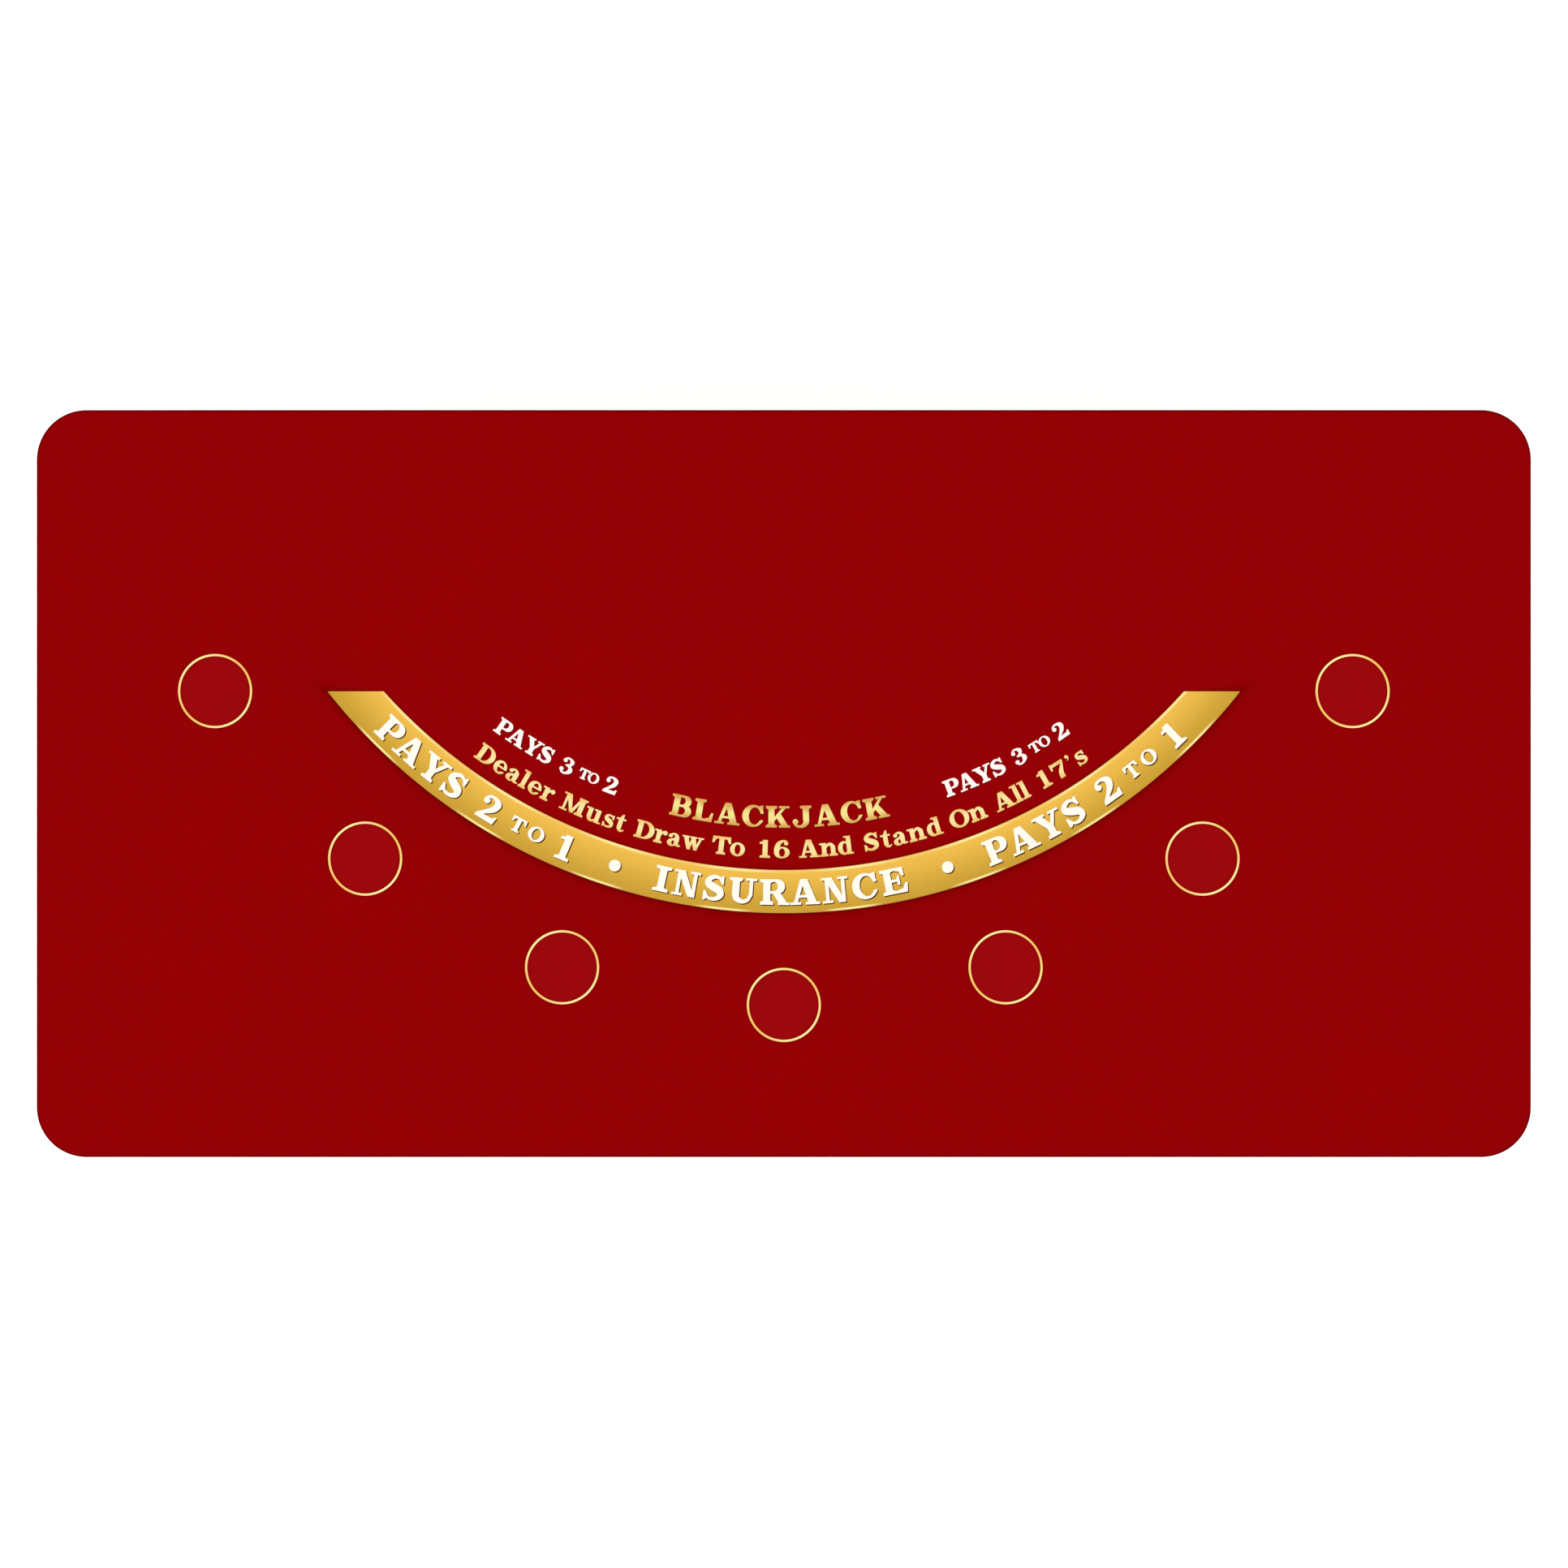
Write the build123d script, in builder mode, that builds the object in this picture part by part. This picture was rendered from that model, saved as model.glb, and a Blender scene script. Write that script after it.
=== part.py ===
"""Portable blackjack table: a printed, padded top on an apron frame with two folding leg sets.

Millimetres. The origin is on the floor under the middle of the top. +X runs along the table's length,
+Z is up, the dealer stands at +Y (the "back") and the players sit round -Y (the "front").
"""

import os
from math import cos, radians, sin

from build123d import *

# ---- driving dimensions: the top ----
TOP_LENGTH = 1800.0
TOP_WIDTH = 900.0
TOP_HEIGHT = 760.0
TOP_CORNER = 60.0

CLOTH = 1.0
FOAM = 4.0
BOARD = 18.0
HEM_WIDTH = 40.0
FOAM_EDGE = 3.5

# ---- driving dimensions: the printed layout, all on arcs round one centre ----
ARC_CENTRE_Y = 543.0
BAND_INNER_RADIUS = 647.0
BAND_OUTER_RADIUS = 699.0
BAND_END_Y = 111.0
BET_ARC_RADIUS = 809.5
BET_STEP = 19.26
BET_COUNT = 7
BET_DIAMETER = 89.2
BET_LINE = 2.6
PRINT = 0.1

# ---- driving dimensions: the apron frame ----
APRON_INSET = 70.0
RAIL_THICKNESS = 22.0
RAIL_DEPTH = 60.0
CORNER_BLOCK = 48.0
CORNER_BLOCK_DEPTH = 42.0
BATTEN_WIDTH = 60.0
BATTEN_DEPTH = 15.0
BATTEN_X = (-420.0, 0.0, 420.0)
BATTEN_SCREW_Y = (-250.0, -85.0, 85.0, 250.0)
RAIL_SCREW_PITCH = 300.0
RAIL_COUNTERBORE = 32.0

SCREW = 4.8
SCREW_HOLE = 5.0
SCREW_BITE = 14.0
SCREW_HEAD = 9.0
SCREW_HEAD_DEPTH = 3.0

# ---- driving dimensions: the leg sets ----
PIVOT_X = 735.0
PIVOT_DROP = 35.0
LEG_Y = 326.0
TUBE = 30.0
TUBE_WALL = 1.5
TUBE_CORNER = 3.0
LEG_ABOVE_PIVOT = 18.0
STRETCHER_DIAMETER = 25.0
STRETCHER_DROPS = {"upper": 180.0, "lower": 500.0}

PLATE = 3.0
CHANNEL_GAP = 34.0
LOCK_RADIUS = 60.0
PLATE_MARGIN = 14.0
BRACKET_OUTBOARD = 34.0

BOLT = 8.0
BOLT_HEAD_DEPTH = 5.3
NUT_DEPTH = 8.0
HEX_ACROSS_FLATS = 13.0
BOLT_PROUD = 3.0
HOLE_PLAY = 0.1
SLOT_PLAY = 0.3
WASHER = 1.6
WASHER_DIAMETER = 20.0

KNOB_DIAMETER = 40.0
KNOB_HUB_DIAMETER = 20.0
KNOB_HUB_DEPTH = 6.0
KNOB_STAR_DEPTH = 14.0
KNOB_LOBES = 5
KNOB_LOBE_RADIUS = 6.5
INSERT_DIAMETER = 12.0
INSERT_DEPTH = 14.0

FOOT = 36.0
FOOT_HEIGHT = 30.0
FOOT_SOLE = 5.0

STAPLE_INSET = 28.0
STAPLE_PITCH = 60.0
STAPLE_CROWN = 12.0
STAPLE_LEG = 8.0
STAPLE_WIRE = 1.0

# ---- worked-out levels and places ----
CLOTH_UNDER = TOP_HEIGHT - CLOTH
FOAM_UNDER = CLOTH_UNDER - FOAM
BOARD_UNDER = FOAM_UNDER - BOARD
HEM_UNDER = BOARD_UNDER - CLOTH

BOARD_LENGTH = TOP_LENGTH - 2 * CLOTH
BOARD_WIDTH = TOP_WIDTH - 2 * CLOTH
BOARD_CORNER = TOP_CORNER - CLOTH

RAIL_UNDER = BOARD_UNDER - RAIL_DEPTH
APRON_LENGTH = TOP_LENGTH - 2 * APRON_INSET
APRON_WIDTH = TOP_WIDTH - 2 * APRON_INSET
END_RAIL_X = APRON_LENGTH / 2 - RAIL_THICKNESS / 2
LONG_RAIL_Y = APRON_WIDTH / 2 - RAIL_THICKNESS / 2
INSIDE_WIDTH = APRON_WIDTH - 2 * RAIL_THICKNESS

PIVOT_Z = BOARD_UNDER - PIVOT_DROP
CHANNEL_WIDTH = CHANNEL_GAP + 2 * PLATE
QUADRANT_RADIUS = LOCK_RADIUS + PLATE_MARGIN
BRACKET_LENGTH = BRACKET_OUTBOARD + QUADRANT_RADIUS
BRACKET_WAIST = 20.0
BRACKET_SCREWS = [(along, across) for along in (-24.0, 60.0) for across in (-9.0, 9.0)]

LEG_TOP = PIVOT_Z + LEG_ABOVE_PIVOT
SPAN_BETWEEN_LEGS = 2 * (LEG_Y - TUBE / 2)
SPACER = (CHANNEL_GAP - TUBE) / 2 - 2 * SLOT_PLAY
KNOB_FACE = CHANNEL_WIDTH / 2 + WASHER + 2 * SLOT_PLAY

ENDS = {"left": -1, "right": 1}
SIDES = {"front": -1, "back": 1}

# The plane a leg swings in, at the right-hand back pivot: local x is inboard, y is up, and its normal is outward.
SWING = Plane(origin=(PIVOT_X, LEG_Y, PIVOT_Z), x_dir=(-1, 0, 0), z_dir=(0, 1, 0))
LOCK_SWING = Plane(origin=(PIVOT_X, LEG_Y, PIVOT_Z - LOCK_RADIUS), x_dir=(-1, 0, 0), z_dir=(0, 1, 0))


def write(piece, name):
    """Labels a finished piece and writes it as one STEP file."""
    piece.label = name
    export_step(piece, f"parts/{name}.step")


def at_corner(piece, end, side):
    """The right-hand back piece, mirrored to another corner of the table."""
    if end < 0:
        piece = piece.mirror(Plane.YZ)
    if side < 0:
        piece = piece.mirror(Plane.XZ)
    return piece


def write_group(piece, name, ends=(-1, 1), sides=(-1, 1)):
    """Writes one right-hand back piece, mirrored to every corner asked for, as a group of separate solids."""
    write(Compound(children=[at_corner(piece, end, side) for end in ends for side in sides]), name)


def write_corners(piece, name):
    """Writes the right-hand back piece at each of the four corners, as four nodes."""
    for end, end_sign in ENDS.items():
        for side, side_sign in SIDES.items():
            write(at_corner(piece, end_sign, side_sign), f"{end}_{side}_{name}")


os.makedirs("parts", exist_ok=True)

# ================================ the top ================================

with BuildPart() as top_board:
    with BuildSketch(Plane.XY.offset(BOARD_UNDER)):
        RectangleRounded(BOARD_LENGTH, BOARD_WIDTH, BOARD_CORNER)
    extrude(amount=BOARD)
write(top_board.part, "top_board")

with BuildPart() as foam_underlay:
    with BuildSketch(Plane.XY.offset(FOAM_UNDER)):
        RectangleRounded(BOARD_LENGTH, BOARD_WIDTH, BOARD_CORNER)
    extrude(amount=FOAM)
    fillet(foam_underlay.edges().group_by(Axis.Z)[-1], FOAM_EDGE)
write(foam_underlay.part, "foam_underlay")

# The gold insurance band: a ring cut off level at both ends, as ink that lies in the cloth's surface.
with BuildPart() as insurance_band:
    with BuildSketch(Plane.XY.offset(TOP_HEIGHT - PRINT)):
        with Locations((0, ARC_CENTRE_Y)):
            Circle(BAND_OUTER_RADIUS)
            Circle(BAND_INNER_RADIUS, mode=Mode.SUBTRACT)
        with Locations((0, BAND_END_Y)):
            Rectangle(TOP_LENGTH, TOP_LENGTH, align=(Align.CENTER, Align.MAX), mode=Mode.INTERSECT)
    extrude(amount=PRINT)
write(insurance_band.part, "insurance_band_print")

# Seven betting circles, evenly stepped along one arc.
with BuildPart() as bet_circles:
    with BuildSketch(Plane.XY.offset(TOP_HEIGHT - PRINT)):
        for place in range(BET_COUNT):
            angle = radians((place - (BET_COUNT - 1) / 2) * BET_STEP)
            centre = (BET_ARC_RADIUS * sin(angle), ARC_CENTRE_Y - BET_ARC_RADIUS * cos(angle))
            with Locations(centre):
                Circle(BET_DIAMETER / 2)
                Circle(BET_DIAMETER / 2 - BET_LINE, mode=Mode.SUBTRACT)
    extrude(amount=PRINT)
write(bet_circles.part, "bet_circle_prints")

# The layout cloth: stretched over foam and board, round the edge, and turned under as a hem.
with BuildPart() as layout_cloth:
    with BuildSketch(Plane.XY.offset(HEM_UNDER)):
        RectangleRounded(TOP_LENGTH, TOP_WIDTH, TOP_CORNER)
    extrude(amount=TOP_HEIGHT - HEM_UNDER)
    fillet(layout_cloth.edges().group_by(Axis.Z)[-1], FOAM_EDGE + CLOTH)
    with BuildSketch(Plane.XY.offset(HEM_UNDER)):
        RectangleRounded(TOP_LENGTH - 2 * HEM_WIDTH, TOP_WIDTH - 2 * HEM_WIDTH, TOP_CORNER - HEM_WIDTH)
    extrude(amount=CLOTH, mode=Mode.SUBTRACT)
    add(top_board.part, mode=Mode.SUBTRACT)
    add(foam_underlay.part, mode=Mode.SUBTRACT)
    add(insurance_band.part, mode=Mode.SUBTRACT)
    add(bet_circles.part, mode=Mode.SUBTRACT)
write(layout_cloth.part, "layout_cloth")


def staple_places():
    """Where each staple crosses the hem, and its turn about Z: evenly along the four straight sides."""
    for length, width, turn in ((TOP_LENGTH, TOP_WIDTH, 0), (TOP_WIDTH, TOP_LENGTH, 90)):
        run = length - 2 * TOP_CORNER
        count = int(run // STAPLE_PITCH) + 1
        for side in (-1, 1):
            for step in range(count):
                along = (step - (count - 1) / 2) * STAPLE_PITCH
                across = side * (width / 2 - STAPLE_INSET)
                x, y = (along, across) if turn == 0 else (across, along)
                yield Location((x, y, HEM_UNDER), (0, 0, turn))


with BuildPart() as cloth_staples:
    with Locations(*staple_places()):
        Box(STAPLE_CROWN, STAPLE_WIRE, STAPLE_WIRE, align=(Align.CENTER, Align.CENTER, Align.MAX))
        for end in (-1, 1):
            with Locations(((STAPLE_CROWN - STAPLE_WIRE) / 2 * end, 0, 0)):
                Box(STAPLE_WIRE, STAPLE_WIRE, STAPLE_LEG, align=(Align.CENTER, Align.CENTER, Align.MIN))
write(cloth_staples.part, "cloth_staples")

# ============================ the apron frame ============================

def screws(places, head_under, grip):
    """Round-headed wood screws driven upwards: heads under head_under, shanks through grip and into the board."""
    with BuildPart() as piece:
        with Locations(*[(x, y, head_under) for x, y in places]):
            Cylinder(SCREW_HEAD / 2, SCREW_HEAD_DEPTH, align=(Align.CENTER, Align.CENTER, Align.MAX))
            Cylinder(SCREW / 2, grip + SCREW_BITE, align=(Align.CENTER, Align.CENTER, Align.MIN))
    return piece.part


def rail(length, thickness, centre, screw_places):
    """A solid wood rail under the board, with its lower edges eased and a counterbored hole for each screw."""
    with BuildPart() as piece:
        with Locations((*centre, BOARD_UNDER)):
            Box(length, thickness, RAIL_DEPTH, align=(Align.CENTER, Align.CENTER, Align.MAX))
        chamfer(piece.edges().group_by(Axis.Z)[0], 2)
        with Locations(*[Location((x, y, RAIL_UNDER), (180, 0, 0)) for x, y in screw_places]):
            CounterBoreHole(SCREW_HOLE / 2, SCREW_HEAD / 2 + 0.5, RAIL_COUNTERBORE)
    return piece.part


def spaced(count):
    """Offsets of count screws at the rail's pitch, centred on the rail."""
    return [(step - (count - 1) / 2) * RAIL_SCREW_PITCH for step in range(count)]


rail_screw_places = []
for side, sign in SIDES.items():
    along = [(x, sign * LONG_RAIL_Y) for x in spaced(6)]
    write(rail(APRON_LENGTH, RAIL_THICKNESS, (0, sign * LONG_RAIL_Y), along), f"{side}_apron_rail")
    rail_screw_places += along
for end, sign in ENDS.items():
    along = [(sign * END_RAIL_X, y) for y in spaced(3)]
    write(rail(RAIL_THICKNESS, INSIDE_WIDTH, (sign * END_RAIL_X, 0), along), f"{end}_apron_rail")
    rail_screw_places += along
write(screws(rail_screw_places, RAIL_UNDER + RAIL_COUNTERBORE, RAIL_DEPTH - RAIL_COUNTERBORE), "rail_screws")

# A triangular glue block in each inside corner of the frame.
with BuildPart() as corner_block:
    corner_x, corner_y = APRON_LENGTH / 2 - RAIL_THICKNESS, INSIDE_WIDTH / 2
    with BuildSketch(Plane.XY.offset(BOARD_UNDER)):
        with BuildLine():
            Polyline(
                (corner_x, corner_y),
                (corner_x - CORNER_BLOCK, corner_y),
                (corner_x, corner_y - CORNER_BLOCK),
                close=True,
            )
        make_face()
    extrude(amount=-CORNER_BLOCK_DEPTH)
write_group(corner_block.part, "corner_blocks")

# Three flat battens across the underside stiffen the board, shallow enough for the legs to fold beneath them.
batten_screw_places = [(x, y) for x in BATTEN_X for y in BATTEN_SCREW_Y]
with BuildPart() as cross_battens:
    with Locations(*[(x, 0, BOARD_UNDER) for x in BATTEN_X]):
        Box(BATTEN_WIDTH, INSIDE_WIDTH, BATTEN_DEPTH, align=(Align.CENTER, Align.CENTER, Align.MAX))
    chamfer(cross_battens.edges().group_by(Axis.Z)[0].filter_by(Axis.Y), 3)
    with Locations(*[(x, y, BOARD_UNDER) for x, y in batten_screw_places]):
        Hole(SCREW_HOLE / 2, BATTEN_DEPTH)
write(cross_battens.part, "cross_battens")
write(screws(batten_screw_places, BOARD_UNDER - BATTEN_DEPTH, BATTEN_DEPTH), "batten_screws")

# ========================== the folding hardware ==========================

# Folded steel channel: a base plate under the board and two quadrant cheeks, each with a pivot hole and an arc slot.
with BuildPart() as bracket:
    with BuildSketch(SWING) as cheek:
        Circle(QUADRANT_RADIUS)
        with Locations((-PLATE_MARGIN, 0)):
            Rectangle(
                2 * QUADRANT_RADIUS, QUADRANT_RADIUS, align=(Align.MIN, Align.MAX), mode=Mode.INTERSECT
            )
        with Locations((-BRACKET_OUTBOARD, PIVOT_DROP)):
            Rectangle(BRACKET_LENGTH, PIVOT_DROP, align=(Align.MIN, Align.MAX))
            Rectangle(BRACKET_OUTBOARD, PIVOT_DROP + BRACKET_WAIST, align=(Align.MIN, Align.MAX))
        fillet(cheek.vertices().group_by(Axis.Y)[0], BRACKET_WAIST / 2)
        fillet(cheek.vertices().filter_by(lambda corner: abs(corner.Y + BRACKET_WAIST) < 1), BRACKET_WAIST / 3)
    extrude(amount=CHANNEL_WIDTH / 2, both=True)
    fillet(bracket.edges().group_by(Axis.Z)[-1].filter_by(Axis.X), PLATE)
    with BuildSketch(SWING):
        with Locations((-BRACKET_OUTBOARD, PIVOT_DROP - PLATE)):
            Rectangle(BRACKET_LENGTH, 2 * QUADRANT_RADIUS, align=(Align.MIN, Align.MAX))
    extrude(amount=CHANNEL_GAP / 2, both=True, mode=Mode.SUBTRACT)
    with BuildSketch(SWING):
        slot_half = BOLT / 2 + SLOT_PLAY
        Circle(LOCK_RADIUS + slot_half)
        Circle(LOCK_RADIUS - slot_half, mode=Mode.SUBTRACT)
        Rectangle(QUADRANT_RADIUS, QUADRANT_RADIUS, align=(Align.MIN, Align.MAX), mode=Mode.INTERSECT)
        with Locations((0, -LOCK_RADIUS), (LOCK_RADIUS, 0)):
            Circle(slot_half)
        Circle(BOLT / 2 + HOLE_PLAY)
    extrude(amount=CHANNEL_WIDTH, both=True, mode=Mode.SUBTRACT)
    with Locations(*[(PIVOT_X - along, LEG_Y + across, BOARD_UNDER) for along, across in BRACKET_SCREWS]):
        Hole(SCREW_HOLE / 2, PLATE)
write_corners(bracket.part, "bracket")

bracket_screw_places = [(PIVOT_X - along, LEG_Y + across) for along, across in BRACKET_SCREWS]
write_group(screws(bracket_screw_places, BOARD_UNDER - PLATE, PLATE), "bracket_screws")

# Each pivot bolt passes both cheeks and the leg, with its head outside and its lock nut inside.
with BuildPart() as pivot_bolt:
    with BuildSketch(SWING.offset(CHANNEL_WIDTH / 2)):
        RegularPolygon(HEX_ACROSS_FLATS / 2, 6, major_radius=False)
    extrude(amount=BOLT_HEAD_DEPTH)
    with BuildSketch(SWING.offset(CHANNEL_WIDTH / 2)):
        Circle(BOLT / 2)
    extrude(amount=-(CHANNEL_WIDTH + NUT_DEPTH + BOLT_PROUD))
write_group(pivot_bolt.part, "pivot_bolts")

with BuildPart() as pivot_nut:
    with BuildSketch(SWING.offset(-CHANNEL_WIDTH / 2)):
        RegularPolygon(HEX_ACROSS_FLATS / 2, 6, major_radius=False)
        Circle(BOLT / 2 + HOLE_PLAY, mode=Mode.SUBTRACT)
    extrude(amount=-NUT_DEPTH)
write_group(pivot_nut.part, "pivot_nuts")

# A nylon spacer on the pivot bolt, each side of the leg.
with BuildPart() as pivot_spacers:
    for face in (TUBE / 2 + SLOT_PLAY, -TUBE / 2 - SLOT_PLAY - SPACER):
        with BuildSketch(SWING.offset(face)):
            Circle(WASHER_DIAMETER / 2)
            Circle(BOLT / 2 + HOLE_PLAY, mode=Mode.SUBTRACT)
        extrude(amount=SPACER)
write_group(pivot_spacers.part, "pivot_spacers")

# ============================== the leg sets ==============================

# Square steel leg tube, cross-drilled for the pivot bolt and the lock bolt.
with BuildPart() as leg:
    with BuildSketch(Plane((PIVOT_X, LEG_Y, FOOT_SOLE))):
        RectangleRounded(TUBE, TUBE, TUBE_CORNER)
        RectangleRounded(
            TUBE - 2 * TUBE_WALL, TUBE - 2 * TUBE_WALL, TUBE_CORNER - TUBE_WALL, mode=Mode.SUBTRACT
        )
    extrude(amount=LEG_TOP - FOOT_SOLE)
    with BuildSketch(SWING):
        Circle(BOLT / 2 + HOLE_PLAY)
        with Locations((0, -LOCK_RADIUS)):
            Circle(BOLT / 2 + HOLE_PLAY)
    extrude(amount=TUBE, both=True, mode=Mode.SUBTRACT)
write_corners(leg.part, "leg")

# Round cross tubes welded between the two legs of a set.
for level, drop in STRETCHER_DROPS.items():
    with BuildPart() as stretcher:
        with BuildSketch(Plane((PIVOT_X, 0, PIVOT_Z - drop), x_dir=(1, 0, 0), z_dir=(0, 1, 0))):
            Circle(STRETCHER_DIAMETER / 2)
            Circle(STRETCHER_DIAMETER / 2 - TUBE_WALL, mode=Mode.SUBTRACT)
        extrude(amount=SPAN_BETWEEN_LEGS / 2, both=True)
    for end, sign in ENDS.items():
        write(at_corner(stretcher.part, sign, 1), f"{end}_{level}_stretcher")

# A plastic plug closes the top of each leg tube.
with BuildPart() as leg_plug:
    with BuildSketch(Plane((PIVOT_X, LEG_Y, LEG_TOP))):
        RectangleRounded(TUBE, TUBE, TUBE_CORNER)
    extrude(amount=2)
    fillet(leg_plug.edges().group_by(Axis.Z)[-1], 1)
    with BuildSketch(Plane((PIVOT_X, LEG_Y, LEG_TOP))):
        inside = TUBE - 2 * TUBE_WALL - 2 * HOLE_PLAY
        RectangleRounded(inside, inside, TUBE_CORNER - TUBE_WALL)
    extrude(amount=-10)
for end, sign in ENDS.items():
    write_group(leg_plug.part, f"{end}_leg_plugs", ends=(sign,))

# A moulded rubber cap pushed over the bottom of each leg.
with BuildPart() as foot:
    with BuildSketch(Plane((PIVOT_X, LEG_Y, 0))):
        RectangleRounded(FOOT, FOOT, FOOT / 2 - TUBE / 2 + TUBE_CORNER)
    extrude(amount=FOOT_HEIGHT)
    fillet(foot.edges().group_by(Axis.Z)[0], 2)
    fillet(foot.edges().group_by(Axis.Z)[-1], 1)
    with BuildSketch(Plane((PIVOT_X, LEG_Y, FOOT_SOLE))):
        RectangleRounded(TUBE + 2 * HOLE_PLAY, TUBE + 2 * HOLE_PLAY, TUBE_CORNER + HOLE_PLAY)
    extrude(amount=FOOT_HEIGHT, mode=Mode.SUBTRACT)
write_corners(foot.part, "foot")

# The lock bolt rides in both arc slots: a domed head outside, a plain washer and the knob inside.
with BuildPart() as lock_bolt:
    head_face = CHANNEL_WIDTH / 2 + 2 * SLOT_PLAY
    with BuildSketch(LOCK_SWING.offset(head_face)):
        Circle(SCREW_HEAD)
    extrude(amount=BOLT_HEAD_DEPTH - 1)
    fillet(lock_bolt.edges().group_by(Axis.Y)[-1], 3)
    with BuildSketch(LOCK_SWING.offset(head_face)):
        Circle(BOLT / 2)
    extrude(amount=-(head_face + KNOB_FACE + INSERT_DEPTH - 1))
with BuildPart() as lock_washer:
    with BuildSketch(LOCK_SWING.offset(-CHANNEL_WIDTH / 2 - SLOT_PLAY)):
        Circle(WASHER_DIAMETER / 2)
        Circle(BOLT / 2 + HOLE_PLAY, mode=Mode.SUBTRACT)
    extrude(amount=-WASHER)
for end, sign in ENDS.items():
    write_group(lock_bolt.part, f"{end}_lock_bolts", ends=(sign,))
    write_group(lock_washer.part, f"{end}_lock_washers", ends=(sign,))

# Five-lobed clamp knob with a brass threaded insert.
with BuildPart() as knob:
    with BuildSketch(LOCK_SWING.offset(-KNOB_FACE)):
        Circle(KNOB_HUB_DIAMETER / 2)
    extrude(amount=-KNOB_HUB_DEPTH)
    with BuildSketch(LOCK_SWING.offset(-KNOB_FACE - KNOB_HUB_DEPTH)) as star:
        lobe_ring = KNOB_DIAMETER / 2 - KNOB_LOBE_RADIUS
        Circle(lobe_ring)
        with PolarLocations(lobe_ring, KNOB_LOBES):
            Circle(KNOB_LOBE_RADIUS)
        fillet(star.vertices(), 3)
    extrude(amount=-KNOB_STAR_DEPTH)
    fillet(knob.edges().group_by(Axis.Y)[0], 2.5)
    with BuildSketch(LOCK_SWING.offset(-KNOB_FACE)):
        Circle(INSERT_DIAMETER / 2)
    extrude(amount=-INSERT_DEPTH, mode=Mode.SUBTRACT)
write_corners(knob.part, "knob")

with BuildPart() as knob_insert:
    with BuildSketch(LOCK_SWING.offset(-KNOB_FACE)):
        Circle(INSERT_DIAMETER / 2)
        Circle(BOLT / 2 + HOLE_PLAY, mode=Mode.SUBTRACT)
    extrude(amount=-INSERT_DEPTH)
write_corners(knob_insert.part, "knob_insert")
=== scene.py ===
"""Blackjack table: the visual model of a portable blackjack table, built round its packed frame."""

from math import atan2, cos, pi, radians, sin, tau

import bmesh
import bpy
from bmesh.types import BMEdge, BMVert
from mathutils import Matrix, Vector, geometry


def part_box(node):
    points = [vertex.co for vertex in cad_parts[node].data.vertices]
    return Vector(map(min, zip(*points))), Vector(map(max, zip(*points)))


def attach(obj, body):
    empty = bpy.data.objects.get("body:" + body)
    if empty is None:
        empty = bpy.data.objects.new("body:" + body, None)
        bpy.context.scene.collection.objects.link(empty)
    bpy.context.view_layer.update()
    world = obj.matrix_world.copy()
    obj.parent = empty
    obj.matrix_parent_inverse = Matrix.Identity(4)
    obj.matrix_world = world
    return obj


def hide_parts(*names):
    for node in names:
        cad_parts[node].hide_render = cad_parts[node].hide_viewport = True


bl_info = {
    "name": "Blackjack table",
    "version": (1, 0, 0),
    "blender": (4, 5, 0),
    "location": "3D View > Sidebar > Blackjack table",
    "description": "Dresses the frame of a portable blackjack table with cloth, print and finishes",
    "category": "Object",
}

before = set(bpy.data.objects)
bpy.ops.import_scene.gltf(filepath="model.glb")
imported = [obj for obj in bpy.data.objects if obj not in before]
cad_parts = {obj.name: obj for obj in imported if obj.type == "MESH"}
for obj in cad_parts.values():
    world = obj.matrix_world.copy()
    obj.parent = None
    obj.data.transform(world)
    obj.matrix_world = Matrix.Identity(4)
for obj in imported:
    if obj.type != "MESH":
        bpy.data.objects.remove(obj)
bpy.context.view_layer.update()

MM = 0.001
ENDS = ("left", "right")
SIDES = ("front", "back")

TOP_LOW, TOP_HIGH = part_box("layout_cloth")
FOAM_LOW, FOAM_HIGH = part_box("foam_underlay")
BOARD_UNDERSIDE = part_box("top_board")[0][2]
SURFACE = TOP_HIGH[2]
LENGTH = TOP_HIGH[0] - TOP_LOW[0]
WIDTH = TOP_HIGH[1] - TOP_LOW[1]
CORNER = 60 * MM
EDGE = 4.5 * MM
# The gap that keeps touching pieces apart.
CLEAR = 0.05 * MM

# The printed layout: everything lies on arcs round one centre behind the table's middle.
ARC_Y = 543 * MM
BAND_INNER = 647 * MM
BAND_OUTER = 699 * MM
BAND_MIDDLE = (BAND_INNER + BAND_OUTER) / 2
BAND_END_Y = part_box("insurance_band_print")[1][1]
BET_ARC = 809.5 * MM
BET_STEP = radians(19.26)
BET_COUNT = 7
BET_RADIUS = 44.6 * MM
BET_LINE = 2.6 * MM


# ================================ settings ================================


def colour(name, description, red, green, blue):
    """A colour setting, given as linear light from 0 to 1."""
    return bpy.props.FloatVectorProperty(
        name=name, description=description, subtype="COLOR", size=3, min=0, max=1, default=(red, green, blue)
    )


def measure(name, description, default):
    """A length setting, given in metres."""
    return bpy.props.FloatProperty(
        name=name, description=description, subtype="DISTANCE", unit="LENGTH", default=default, precision=5
    )


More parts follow.
